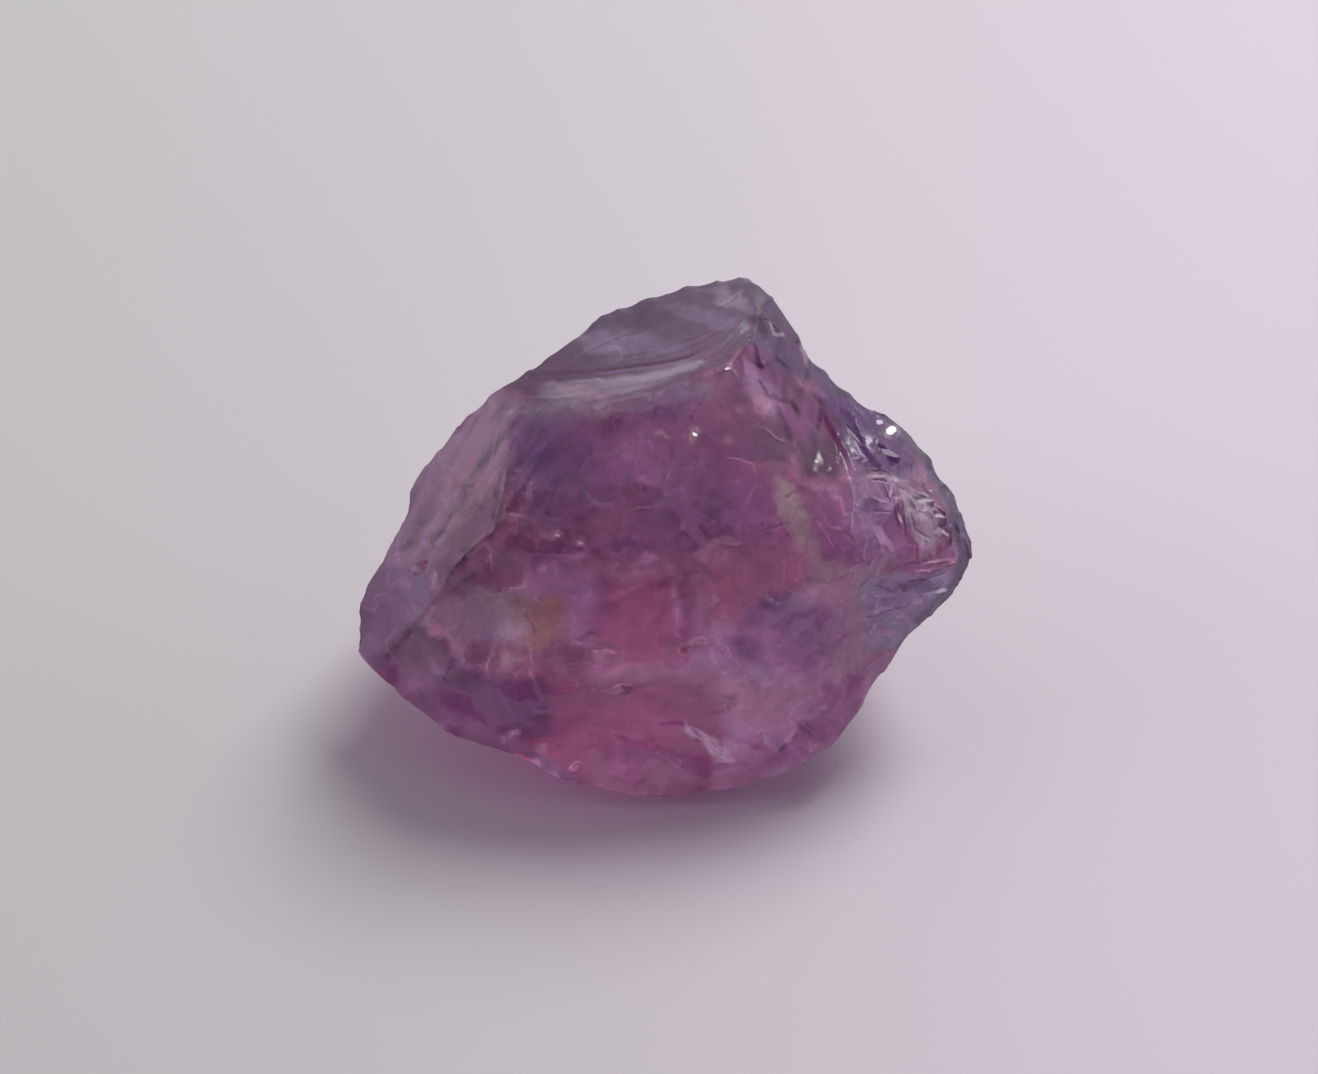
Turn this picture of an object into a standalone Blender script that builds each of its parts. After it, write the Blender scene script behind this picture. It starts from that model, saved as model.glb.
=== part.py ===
# Rough spinel: one loose, clear purple crystal fragment, broken on all sides by conchoidal
# fracture, resting on its flattest break. Lengths are millimetres until the stone is finished.
import math

import bmesh
import bpy
from mathutils import Matrix, Vector, noise
from mathutils.geometry import delaunay_2d_cdt

NODE = "rough_spinel"
MM = 0.001
TABLE = 1e-6
INSIDE_OUTLINE = 1
SHARP_FROM = math.radians(22.0)

# The crystal: colour, roughness of its breaks, index of refraction, share of light let in.
PURPLE = (0.16, 0.075, 0.14, 1.0)
SHEEN = 0.2
REFRACTION = 1.718
CLEARNESS = 0.8

# Each corner is (across, up, height): across and up as the stone looks from in front, from
# SIGHT above the table, and its height over the table. SIGHT then fixes how far back it lies.
SIGHT = math.radians(45.0)
SIGHT_LINE = Vector((0.0, -math.cos(SIGHT), math.sin(SIGHT)))

# The outline, clockwise as seen, in stretches that each end where the next begins.
RIM = {
    "left": [
        (-6.00, -2.24, 1.60),
        (-5.88, -1.84, 1.90),
        (-5.96, -1.42, 2.25),
        (-5.80, -1.00, 2.60),
        (-5.40, -0.56, 3.00),
        (-5.24, -0.06, 3.45),
        (-5.06, 0.34, 3.80),
        (-5.00, 0.84, 4.15),
        (-4.70, 1.38, 4.60),
        (-4.14, 1.90, 5.00),
        (-3.70, 2.44, 5.40),
        (-3.26, 2.82, 5.75),
    ],
    "crest": [
        (-2.78, 3.06, 6.05),
        (-2.46, 3.36, 6.25),
        (-1.98, 3.62, 6.40),
        (-1.72, 3.84, 6.50),
        (-1.42, 4.18, 6.60),
        (-1.00, 4.42, 6.72),
        (-0.26, 4.68, 6.90),
        (0.52, 4.92, 7.02),
        (1.14, 5.08, 7.15),
    ],
    "slope": [
        (1.88, 5.12, 7.25),
        (2.20, 4.86, 7.20),
        (2.50, 4.30, 6.95),
        (2.94, 3.58, 6.40),
        (3.62, 2.94, 5.80),
        (4.22, 2.54, 5.35),
    ],
    "nose": [
        (4.68, 2.34, 5.10),
        (5.06, 2.02, 4.80),
        (5.42, 1.54, 4.50),
        (5.68, 0.94, 4.20),
        (6.06, 0.44, 3.90),
        (6.24, -0.12, 3.50),
        (6.14, -0.66, 3.10),
        (5.82, -1.26, 2.80),
        (5.40, -1.60, 2.60),
    ],
    "heel": [
        (4.96, -1.92, 2.50),
        (4.68, -2.26, 2.20),
        (4.18, -3.06, 1.70),
        (3.92, -3.50, 1.45),
        (3.46, -4.16, 1.00),
    ],
    "foot": [
        (3.04, -4.40, 0.80),
        (2.32, -4.74, 0.50),
        (1.42, -4.96, 0.35),
        (0.50, -5.04, 0.30),
        (-0.38, -5.08, 0.30),
        (-1.22, -5.00, 0.35),
        (-2.08, -4.80, 0.45),
    ],
    "lip": [
        (-2.74, -4.40, 0.70),
        (-3.38, -4.22, 0.85),
        (-4.04, -4.00, 0.95),
        (-4.58, -3.56, 1.10),
        (-5.46, -2.78, 1.40),
    ],
}

# Corners on the side that faces the viewer, inside the outline.
NEAR = {
    "roof_left": (-2.84, 2.40, 6.00),
    "roof_dip": (-1.62, 2.52, 6.40),
    "roof_mid": (-0.46, 2.80, 6.80),
    "roof_rise": (0.60, 3.02, 7.10),
    "roof_right": (1.42, 3.38, 7.30),
    "roof_top": (1.96, 4.10, 7.30),
    "side_bend": (-2.92, 1.42, 5.70),
    "side_knee": (-3.18, 0.12, 5.00),
    "side_foot": (-4.06, -0.54, 4.10),
    "side_low": (-4.56, -1.60, 2.90),
    "side_end": (-5.12, -2.42, 1.80),
    "belt_left": (-2.50, -0.02, 5.05),
    "belt_mid": (-1.18, -0.22, 4.95),
    "belt_right": (0.34, -0.20, 5.00),
    "belt_rise": (1.06, 0.34, 5.45),
    "saddle": (2.82, 0.74, 5.65),
    "nose_root": (4.32, 1.94, 5.45),
    "nose_cheek": (4.02, 0.94, 5.20),
    "nose_bridge": (5.02, 0.54, 4.75),
    "nose_wing": (5.32, -0.46, 3.95),
    "nose_base": (3.82, -0.46, 4.65),
    "nose_hollow": (4.62, -1.46, 3.05),
    "window_right": (3.82, -1.26, 3.75),
    "window_top": (1.98, -1.26, 4.05),
    "window_left": (1.58, -2.26, 3.20),
    "window_low": (2.60, -2.80, 2.60),
    "window_foot": (3.86, -2.80, 2.05),
    "patch_top": (-1.78, -1.18, 4.25),
    "patch_low": (-1.94, -2.66, 2.90),
    "lip_turn": (-4.10, -2.74, 2.05),
    "lip_low": (-2.60, -3.30, 2.15),
    "lip_end": (-1.30, -4.05, 1.40),
}

# Corners on the hidden side, given as (x, y, z) from the same origin.
FAR = {
    "back_left": (-4.50, -1.50, 2.70),
    "back_low_left": (-2.60, 0.70, 2.60),
    "back_mid": (-0.60, 1.90, 2.90),
    "back_mid_right": (1.50, 1.80, 3.10),
    "back_shoulder": (-1.40, 0.60, 4.70),
    "back_high": (0.90, 1.20, 5.20),
    "back_flank": (3.00, -0.10, 4.60),
    "back_right": (3.30, 0.60, 2.70),
    "back_nose": (4.90, -1.60, 2.30),
    "nose_under": (5.20, -3.00, 2.20),
    "back_foot": (0.30, 1.50, 1.10),
    "belly_left": (-4.20, -3.70, 0.90),
    "belly_right": (4.10, -3.60, 1.10),
}

# The break that it rests on, as (x, y) at the table.
SOLE = [
    (-2.10, -5.90),
    (-0.40, -6.60),
    (1.80, -6.30),
    (3.10, -4.60),
    (3.00, -1.40),
    (0.60, 0.70),
    (-2.20, -0.40),
    (-3.30, -3.00),
]

# The sharp edges that part one fracture from the next, as runs of corners.
NEAR_RIDGES = [
    ["crest0", "roof_left", "roof_dip", "roof_mid", "roof_rise", "roof_right", "roof_top", "slope0"],
    ["roof_left", "side_bend", "side_knee", "side_foot", "side_low", "side_end", "left0"],
    ["side_knee", "belt_left", "belt_mid", "belt_right", "belt_rise"],
    ["slope5", "nose_root", "nose_cheek", "nose_base", "window_right", "heel0"],
    ["nose_root", "nose_bridge", "nose_wing", "nose8"],
    ["window_top", "window_right", "window_foot", "window_low", "window_left", "window_top"],
    ["belt_right", "window_top"],
    ["side_end", "lip_turn", "lip_low", "lip_end", "foot4"],
]
FAR_RIDGES = [
    ["left6", "back_left", "belly_left", "lip2"],
    ["crest5", "back_shoulder", "back_mid"],
    ["slope0", "back_high", "back_mid_right"],
    ["slope4", "back_flank", "back_right"],
    ["back_left", "back_low_left", "back_mid", "back_mid_right", "back_right", "back_nose", "nose5"],
    ["back_nose", "nose_under", "belly_right", "heel2"],
    ["back_mid", "back_foot", "sole5"],
]

# The two sides' marks, and how finely each is meshed: the longest edge.
SIDES = {"near": 0, "far": 1}
NEAR_STEP = 0.36
FAR_STEP = 0.64

# Wear: how often the fractures between the ridges are relaxed, then the ridges themselves,
# and how far a point goes towards the middle of its neighbours each time.
FACE_ROUNDS = 14
RIDGE_ROUNDS = 2
PULL = 0.5

# Waves that keep any face or edge from being straight: wavelength, amplitude.
WAVES = [(2.6, 0.10), (0.9, 0.035)]
SEED = 5

# Shell-shaped hollows seen from in front: across, up, radius, depth. A negative depth swells.
NEAR_DISHES = [
    (-0.60, 1.30, 1.50, 0.16),
    (1.90, 1.50, 1.30, 0.10),
    (-0.20, -2.00, 1.60, -0.16),
    (-0.60, -3.80, 1.40, 0.14),
    (-3.30, -1.90, 1.10, 0.14),
    (2.80, -2.00, 0.90, 0.12),
    (3.30, 2.00, 1.00, 0.12),
    (-4.30, 0.80, 0.90, 0.10),
    (-3.60, -3.30, 0.70, 0.08),
    (2.60, -3.70, 1.00, 0.12),
    (0.20, 3.90, 1.60, 0.10),
    (5.30, 1.10, 0.60, 0.12),
    (5.50, -0.30, 0.50, 0.12),
    (4.60, 0.00, 0.50, 0.10),
    (4.50, -0.90, 0.50, 0.10),
    (5.00, 0.50, 0.40, -0.08),
    (-1.30, 2.52, 0.50, 0.06),
    (-2.90, 1.70, 0.45, 0.06),
    (-4.40, -1.20, 0.50, 0.07),
    (1.20, -0.70, 0.60, 0.07),
]

# The same on the hidden side: x, y, z, radius, depth.
FAR_DISHES = [
    (-3.00, 0.00, 4.00, 2.00, 0.24),
    (0.30, 1.40, 4.60, 1.60, 0.22),
    (2.40, 0.60, 4.20, 1.20, 0.16),
    (4.40, -1.40, 3.60, 1.40, 0.16),
    (-4.60, -2.80, 2.40, 1.10, 0.16),
    (-2.20, 0.60, 1.20, 1.50, 0.20),
    (2.40, 0.60, 1.20, 1.50, 0.20),
    (4.20, -3.20, 1.80, 1.00, 0.14),
]


def seen_corner(across, up, height):
    """A corner's place, from how it looks and its height."""
    return Vector((across, (up - height * math.cos(SIGHT)) / math.sin(SIGHT), height))


def on_sight(place):
    """Where a place is seen: across and up."""
    return Vector((place.x, place.y * math.sin(SIGHT) + place.z * math.cos(SIGHT)))


def add_sheet(bm, verts, rim, ridges, side):
    """Fills the outline with triangles through the corners inside it, keeping the ridges."""
    names = list(verts)
    number = {name: i for i, name in enumerate(names)}
    edges = [(number[a], number[b]) for run in ridges for a, b in zip(run, run[1:])]
    outline = [number[name] for name in rim]
    seen = [on_sight(verts[name].co) for name in names]
    _, _, faces, sources, _, _ = delaunay_2d_cdt(seen, edges, [outline], INSIDE_OUTLINE, TABLE)
    for face in faces:
        corners = [verts[names[sources[i][0]]] for i in face]
        bm.faces.new(corners).material_index = side


def crease(bm, verts, run):
    """Marks the edges along a run of corners as sharp."""
    for a, b in zip(run, run[1:]):
        bm.edges.get((verts[a], verts[b])).smooth = False


def cage():
    """The stone's corners and flat faces, before it is worn and rippled."""
    bm = bmesh.new()
    rim_places = {f"{part}{i}": p for part, run in RIM.items() for i, p in enumerate(run)}
    rim = {name: bm.verts.new(seen_corner(*p)) for name, p in rim_places.items()}
    near = {name: bm.verts.new(seen_corner(*p)) for name, p in NEAR.items()}
    far = {name: bm.verts.new(p) for name, p in FAR.items()}
    sole = {f"sole{i}": bm.verts.new((x, y, 0.0)) for i, (x, y) in enumerate(SOLE)}
    sole_run = [*sole, "sole0"]
    add_sheet(bm, {**rim, **near}, rim, NEAR_RIDGES, SIDES["near"])
    add_sheet(bm, {**rim, **far, **sole}, rim, [*FAR_RIDGES, sole_run], SIDES["far"])
    bmesh.ops.recalc_face_normals(bm, faces=bm.faces)
    for run in [*NEAR_RIDGES, *FAR_RIDGES, sole_run, [*rim, "left0"]]:
        crease(bm, {**rim, **near, **far, **sole}, run)
    return bm


def is_long(edge):
    """Whether an edge is longer than its side of the stone allows."""
    near = any(face.material_index == SIDES["near"] for face in edge.link_faces)
    return edge.calc_length() > (NEAR_STEP if near else FAR_STEP)


def refine(bm):
    """Splits long edges until the mesh is even, turning diagonals to keep triangles well shaped."""
    long_edges = [edge for edge in bm.edges if is_long(edge)]
    while long_edges:
        bmesh.ops.subdivide_edges(bm, edges=long_edges, cuts=1)
        bmesh.ops.triangulate(bm, faces=[face for face in bm.faces if len(face.verts) > 3])
        inner = [edge for edge in bm.edges if edge.smooth]
        bmesh.ops.beautify_fill(bm, faces=bm.faces, edges=inner)
        long_edges = [edge for edge in bm.edges if is_long(edge)]


def relax(bm, fixed):
    """Wears the fractures smooth between the ridges, then the ridges along their own runs."""
    sharp = {v for edge in bm.edges if not edge.smooth for v in edge.verts}
    free = [v for v in bm.verts if v not in sharp and v not in fixed]
    axes = {"use_axis_x": True, "use_axis_y": True, "use_axis_z": True}
    for _ in range(FACE_ROUNDS):
        bmesh.ops.smooth_vert(bm, verts=free, factor=PULL, **axes)
    for _ in range(RIDGE_ROUNDS):
        moved = {}
        for v in sharp - fixed:
            ends = [edge.other_vert(v).co for edge in v.link_edges if not edge.smooth]
            if len(ends) == 2:
                moved[v] = v.co.lerp((ends[0] + ends[1]) / 2, PULL)
        for v, place in moved.items():
            v.co = place


def wave(bm, fixed):
    """Pushes the whole surface about in soft waves, so that nothing stays flat or straight."""
    noise.seed_set(SEED)
    for length, height in WAVES:
        for v in bm.verts:
            push = noise.noise_vector(v.co / length) * height
            if v in fixed:
                push.z = 0.0
            v.co += push


def dish(bm, fixed, spot, radius, depth):
    """Sinks a soft hollow into the surface around its vertex nearest to a spot."""
    start = min(bm.verts, key=lambda v: (v.co - spot).length)
    centre, inward = start.co.copy(), -start.normal
    for v in bm.verts:
        reach = (v.co - centre).length / radius
        if reach < 1.0 and v not in fixed:
            v.co += inward * depth * (1.0 - reach * reach) ** 2


def hollow(bm, fixed):
    """Shapes the shells that the flakes left on both sides."""
    sights = {v: on_sight(v.co) for v in bm.verts if v.normal.dot(SIGHT_LINE) > 0}
    for across, up, radius, depth in NEAR_DISHES:
        spot = min(sights, key=lambda v: (sights[v] - Vector((across, up))).length)
        dish(bm, fixed, spot.co.copy(), radius, depth)
    for x, y, z, radius, depth in FAR_DISHES:
        dish(bm, fixed, Vector((x, y, z)), radius, depth)


def stone_mesh():
    """The finished stone, in metres, standing on z = 0 with the origin under its middle."""
    bm = cage()
    refine(bm)
    fixed = {v for v in bm.verts if v.co.z < TABLE}
    relax(bm, fixed)
    wave(bm, fixed)
    bm.normal_update()
    hollow(bm, fixed)
    xs = [v.co.x for v in bm.verts]
    ys = [v.co.y for v in bm.verts]
    middle = Vector(((min(xs) + max(xs)) / 2, (min(ys) + max(ys)) / 2, 0.0))
    bm.transform(Matrix.Scale(MM, 4) @ Matrix.Translation(-middle))
    for face in bm.faces:
        face.material_index = 0
        face.smooth = True
    mesh = bpy.data.meshes.new(NODE)
    bm.to_mesh(mesh)
    bm.free()
    mesh.set_sharp_from_angle(angle=SHARP_FROM)
    return mesh


def crystal():
    """Clear purple crystal with a fracture's soft sheen."""
    material = bpy.data.materials.new("spinel")
    material.use_nodes = True
    shader = material.node_tree.nodes["Principled BSDF"]
    shader.inputs["Base Color"].default_value = PURPLE
    shader.inputs["Roughness"].default_value = SHEEN
    shader.inputs["IOR"].default_value = REFRACTION
    shader.inputs["Transmission Weight"].default_value = CLEARNESS
    return material


def main():
    for old in list(bpy.data.objects):
        bpy.data.objects.remove(old)
    stone = bpy.data.objects.new(NODE, stone_mesh())
    stone.data.materials.append(crystal())
    bpy.context.scene.collection.objects.link(stone)


main()
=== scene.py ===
# Rough spinel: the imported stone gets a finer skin, its clear crystal, and soft studio light.
import math
import random

import bmesh
import bpy
import numpy as np
from mathutils import Matrix, Vector, noise
from mathutils.kdtree import KDTree


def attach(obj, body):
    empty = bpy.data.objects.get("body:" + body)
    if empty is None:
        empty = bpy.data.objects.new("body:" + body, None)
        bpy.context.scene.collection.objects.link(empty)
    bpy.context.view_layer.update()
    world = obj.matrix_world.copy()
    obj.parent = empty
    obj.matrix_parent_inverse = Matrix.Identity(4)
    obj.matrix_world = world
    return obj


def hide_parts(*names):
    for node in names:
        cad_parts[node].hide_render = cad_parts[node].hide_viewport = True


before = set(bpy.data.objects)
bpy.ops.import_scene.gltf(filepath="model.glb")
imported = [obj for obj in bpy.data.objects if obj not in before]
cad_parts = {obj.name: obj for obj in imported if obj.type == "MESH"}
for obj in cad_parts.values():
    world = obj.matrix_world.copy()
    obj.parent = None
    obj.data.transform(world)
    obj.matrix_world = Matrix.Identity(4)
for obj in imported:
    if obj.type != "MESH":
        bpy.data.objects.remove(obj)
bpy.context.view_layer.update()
mm = 0.001
print("frame loaded")

# How the stone is seen in the photo: from this height, with this spot of the table in the middle
sight = {
    "elevation": math.radians(45.0),
    "middle": (-0.103, 2.823),  # mm on the table
    "frameWidth": 26.36,  # mm across the picture, at the middle
    "distance": 420.0,  # mm from the camera
}
sightLine = np.array((0.0, -math.cos(sight["elevation"]), math.sin(sight["elevation"])))


def seenAt(places):
    # across and up, in mm, as the camera sees places of the stone
    across = places[:, 0] - sight["middle"][0]
    deep = places[:, 1] - sight["middle"][1]
    up = deep * math.sin(sight["elevation"]) + places[:, 2] * math.cos(sight["elevation"])
    return np.stack((across, up), axis=1)


def smoothStep(low, high, values):
    share = np.clip((values - low) / (high - low), 0.0, 1.0)
    return share * share * (3.0 - 2.0 * share)


def sawTeeth(phase, crest, sink):
    # once per cycle a slow rise and, from the crest on, a steep fall; lowered by sink
    saw = phase - np.floor(phase)
    return saw * (1.0 - smoothStep(crest, 1.0, saw)) - sink


def alongLine(points, spots):
    # for each spot: distance to a run of points, signed by its side, and how far along the run
    best = np.full(len(spots), 1e9)
    side = np.ones(len(spots))
    travel = np.zeros(len(spots))
    gone = 0.0
    for a, b in zip(points, points[1:]):
        length = math.dist(a, b)
        run = (np.array(b) - a) / length
        offset = spots - a
        share = np.clip(offset @ run, 0.0, length)
        gap = offset - share[:, None] * run
        distance = np.hypot(gap[:, 0], gap[:, 1])
        nearer = distance < best
        best = np.where(nearer, distance, best)
        cross = run[0] * offset[:, 1] - run[1] * offset[:, 0]
        side = np.where(nearer, np.sign(cross), side)
        travel = np.where(nearer, gone + share, travel)
        gone += length
    return best * side, travel / gone


def acrossEllipse(spots, across, up, wide, high, slant):
    # 0 in the middle of an ellipse that slants by some degrees, 1 on its outline
    away = spots - (across, up)
    turn = math.radians(slant)
    along = away[:, 0] * math.cos(turn) + away[:, 1] * math.sin(turn)
    beside = away[:, 1] * math.cos(turn) - away[:, 0] * math.sin(turn)
    return np.hypot(along / wide, beside / high)


# Single lines in the near side: a run of seen points, half width, height in mm (below zero is a
# groove), and 1 for a step that is steep on one side
strokes = [
    # the frosted left flank: streaks that run down it
    ([(-3.24, 2.46), (-3.96, 1.74), (-4.28, 1.2)], 0.07, -0.03, 0),
    ([(-3.7, 2.3), (-4.38, 1.66), (-4.7, 1.06)], 0.06, 0.03, 1),
    ([(-3.62, 2.08), (-3.78, 1.22)], 0.04, -0.025, 1), ([(-3.42, 1.94), (-3.52, 1.34)], 0.035, 0.02, 1),
    ([(-4.06, 1.84), (-4.24, 1.22)], 0.04, 0.02, 1), ([(-3.16, 2.18), (-3.32, 1.3)], 0.05, -0.025, 1),
    ([(-4.46, 1.34), (-4.7, 0.62)], 0.05, -0.02, 1),
    ([(-4.9, 0.1), (-4.46, 0.22), (-3.98, 0.3)], 0.09, 0.02, 0),
    ([(-5.46, -0.32), (-4.78, -0.14), (-4.3, 0.06), (-3.88, 0.14)], 0.1, -0.03, 0),
    ([(-4.38, -0.68), (-4.5, -1.1)], 0.05, 0.03, 0),
    ([(-3.34, -0.48), (-4.38, -1.26), (-5.18, -2.26), (-5.46, -2.48)], 0.09, -0.045, 0),
    ([(-5.74, -1.26), (-5.34, -1.46), (-5.42, -2.06)], 0.05, -0.02, 1),
    # the roof: shell lines above its lower edge, scratches near the peak
    ([(-2.06, 2.88), (-1.18, 3.06), (-0.18, 3.14), (0.82, 3.42), (1.3, 3.72)], 0.08, 0.035, 0),
    ([(-1.34, 3.24), (-0.18, 3.36), (0.46, 3.48), (1.1, 3.78)], 0.06, -0.05, 1),
    ([(-0.38, 3.5), (0.46, 3.7), (1.16, 4.04), (1.54, 4.3)], 0.05, 0.022, 1),
    ([(-1.18, 3.42), (-0.18, 3.62), (0.7, 3.9), (1.26, 4.18)], 0.05, -0.02, 1),
    ([(-1.86, 3.3), (-1.38, 3.7), (-0.38, 4.14)], 0.06, 0.018, 1),
    ([(0.82, 3.5), (1.34, 3.86), (1.62, 4.08)], 0.04, 0.025, 0),
    ([(1.06, 4.5), (1.36, 4.62), (1.66, 4.86)], 0.045, 0.035, 1),
    ([(1.26, 4.84), (1.56, 4.92)], 0.035, -0.025, 1),
    ([(2.1, 4.24), (2.28, 4.08), (2.46, 3.9)], 0.035, 0.045, 1),
    ([(1.82, 4.6), (2.1, 4.34)], 0.035, 0.02, 1), ([(-0.08, 3.62), (0.1, 3.54)], 0.03, -0.02, 0),
    # the tip: hackles and torn steps
    ([(4.02, 2.52), (4.34, 2.44), (4.68, 2.32)], 0.045, 0.05, 1),
    ([(3.66, 2.26), (3.82, 2.06), (4.04, 1.78)], 0.045, -0.06, 1),
    ([(4.36, 1.82), (4.54, 1.68), (4.74, 1.48)], 0.05, 0.06, 1),
    ([(3.82, 1.56), (4.1, 1.48)], 0.04, 0.03, 1), ([(4.44, 1.06), (4.58, 0.66)], 0.035, 0.04, 1),
    ([(4.6, 0.86), (4.78, 0.02)], 0.035, 0.05, 1), ([(4.78, 0.86), (4.9, 0.02)], 0.035, 0.05, 1),
    ([(4.06, 1.34), (4.68, 1.26)], 0.03, 0.03, 1), ([(4.12, 1.14), (4.66, 1.06)], 0.03, -0.03, 1),
    ([(4.1, 0.78), (4.54, 0.62)], 0.035, 0.035, 1), ([(4.18, 0.5), (4.6, 0.48)], 0.03, -0.03, 1),
    ([(4.88, 1), (5.24, 0.76), (5.62, 0.46), (5.74, 0.08)], 0.045, 0.05, 1),
    ([(4.94, 0.58), (5.04, 0.14), (5.42, -0.08)], 0.045, -0.04, 1),
    ([(5.78, 0.34), (5.74, -0.16), (5.46, -0.38)], 0.05, 0.05, 1),
    ([(5.58, 0.42), (5.64, 0.06), (5.46, -0.16)], 0.04, -0.035, 0),
    ([(5.06, -0.06), (5.1, -0.62)], 0.035, -0.035, 1),
    ([(5.32, 1.94), (5.74, 1.14), (5.94, 0.5)], 0.05, -0.035, 1),
    ([(4.82, 2.5), (5.14, 2.22), (5.34, 1.86)], 0.045, 0.035, 1),
    ([(4.78, -0.66), (5.32, -0.68), (5.82, -0.5), (6, -0.26)], 0.055, 0.06, 1),
    ([(4.68, -0.86), (5.22, -0.9), (5.74, -0.7)], 0.05, -0.05, 1),
    ([(4.18, -1.22), (4.42, -1.16), (4.76, -1.14)], 0.04, 0.05, 1),
    ([(4.02, -1.6), (4.42, -1.44), (4.86, -1.34)], 0.045, 0.055, 1),
    ([(5.04, -1.18), (5.5, -1.06)], 0.04, 0.045, 1), ([(4.9, -1.52), (5.36, -1.38)], 0.04, 0.04, 1),
    ([(4.26, -1.88), (4.64, -1.86)], 0.045, 0.04, 0), ([(4.14, -0.96), (4.66, -1.06)], 0.035, -0.03, 1),
    ([(3.94, -1.82), (4.34, -2.06)], 0.04, -0.035, 1),
    # under the roof and the right of the front
    ([(1.76, 2.2), (2.06, 2.14), (2.32, 1.9), (2.56, 1.82)], 0.05, 0.03, 1),
    ([(1.92, 0.34), (2.12, 0.14), (2.42, 0.24), (2.68, 0.26)], 0.055, -0.06, 1),
    ([(3.06, 0.42), (3.32, 0.04), (3.58, -0.34)], 0.05, -0.04, 1),
    ([(2.34, 1.1), (2.56, 0.82), (2.62, 0.46), (2.82, 0.22), (2.86, -0.16), (3.18, -0.5), (3.58, -0.68)],
    0.1, 0.01, 0), ([(0.98, -0.06), (1.26, -0.14), (1.66, -0.16)], 0.06, 0.03, 1),
    ([(0.62, 2.14), (0.82, 1.7), (0.7, 1.14)], 0.06, 0.01, 1),
    ([(1.46, 1.7), (1.58, 0.94), (1.42, 0.14)], 0.07, -0.01, 1),
    ([(-0.38, 2.14), (-0.46, 1.34), (-0.26, 0.34)], 0.08, 0.01, 1),
    ([(3.72, 1.34), (3.82, 0.74), (3.74, -0.06)], 0.05, 0.02, 1),
    # the lower front: shell ripples, folds and bruises
    ([(-1.66, -1.96), (-1.38, -1.88), (-1.06, -1.94)], 0.05, -0.025, 0),
    ([(-1.22, -2.06), (-0.98, -2.14), (-0.72, -2.2)], 0.045, -0.025, 0),
    ([(-1.42, -2.24), (-1.06, -2.26), (-0.7, -2.3)], 0.04, 0.03, 0),
    ([(-1.98, -2.5), (-1.38, -2.46), (-0.82, -2.62)], 0.05, -0.03, 1),
    ([(-0.98, -3.02), (-0.74, -2.92), (-0.46, -2.96)], 0.045, 0.04, 1),
    ([(-0.82, -3.12), (-0.5, -3.1)], 0.035, -0.04, 0),
    ([(-2.14, -3.06), (-1.58, -2.92), (-1.1, -3.02)], 0.05, -0.03, 1),
    ([(1, -1.86), (1.42, -2.46), (1.86, -2.94), (2.34, -3.22)], 0.14, 0.014, 0),
    ([(1.22, -1.86), (1.42, -2.26), (1.7, -2.68)], 0.05, -0.02, 1),
    ([(1.16, -3.14), (1.46, -3.2)], 0.035, -0.04, 1), ([(1.26, -3.34), (1.5, -3.44)], 0.035, -0.035, 1),
    ([(0.54, -3.74), (0.78, -3.9), (1, -4.02)], 0.06, 0.04, 0),
    ([(0.94, -4.04), (1.18, -4.22), (1.44, -4.4)], 0.07, 0.05, 0),
    ([(2.78, -3.6), (2.94, -3.74), (3.12, -3.88)], 0.05, -0.05, 1),
    ([(2.38, -4.02), (2.44, -4.26)], 0.05, -0.03, 0),
    ([(-2.8, -4.34), (-2.52, -4.6), (-2.12, -4.88), (-1.58, -5.06)], 0.08, 0.035, 1),
    ([(-1.78, -4.62), (-1.66, -4.48), (-1.5, -4.54)], 0.035, 0.05, 1),
    ([(-0.38, -4.1), (0.1, -4.3), (0.62, -4.66)], 0.06, -0.03, 1),
    ([(1.7, -3.58), (2.02, -3.82), (2.22, -4.1)], 0.05, 0.025, 1),
    # the window in the left of the front, and its borders
    ([(-4.06, -2.54), (-3.38, -2.5), (-2.7, -2.38), (-2.06, -2.26)], 0.05, -0.01, 1),
    ([(-5.18, -2.9), (-4.48, -2.72), (-3.68, -2.72)], 0.05, 0.01, 1),
    ([(-3.18, -0.46), (-2.38, -0.3), (-1.5, -0.38)], 0.06, -0.03, 1),
    ([(-2.86, -1.06), (-2.54, -1.38), (-2.58, -1.9)], 0.05, 0.008, 1),
    ([(-2.86, -2.76), (-2.82, -3.26), (-3.38, -3.82)], 0.06, 0.01, 1),
    ([(-4.58, -2.06), (-4.26, -1.7)], 0.05, 0.025, 0),
]

lineLook = {
    "relief": 0.3,  # share of the heights above that is modelled
    "sharp": ((5.0, 0.2), 2.6, 0.8),  # place, reach and soft edge of the tip, which keeps them whole
    "steepShare": 0.3,  # how wide a step's steep side is, as a share of the slow one
    "ends": 0.25,  # share of the run over which a line dies out
    "wobble": (0.3, 81, 0.025),  # noise: its length in mm, seed and strength
    "frost": 0.4,  # on the side painted lighter
    "contrast": 0.5,  # painted light and shade: how much lighter the lit side and darker the shaded side of a line are tinted
    "fullHeight": 0.045,  # lines this high get the whole contrast
    "toneReach": 1.3,  # in half widths
    "toneEnds": 0.2,
}

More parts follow.
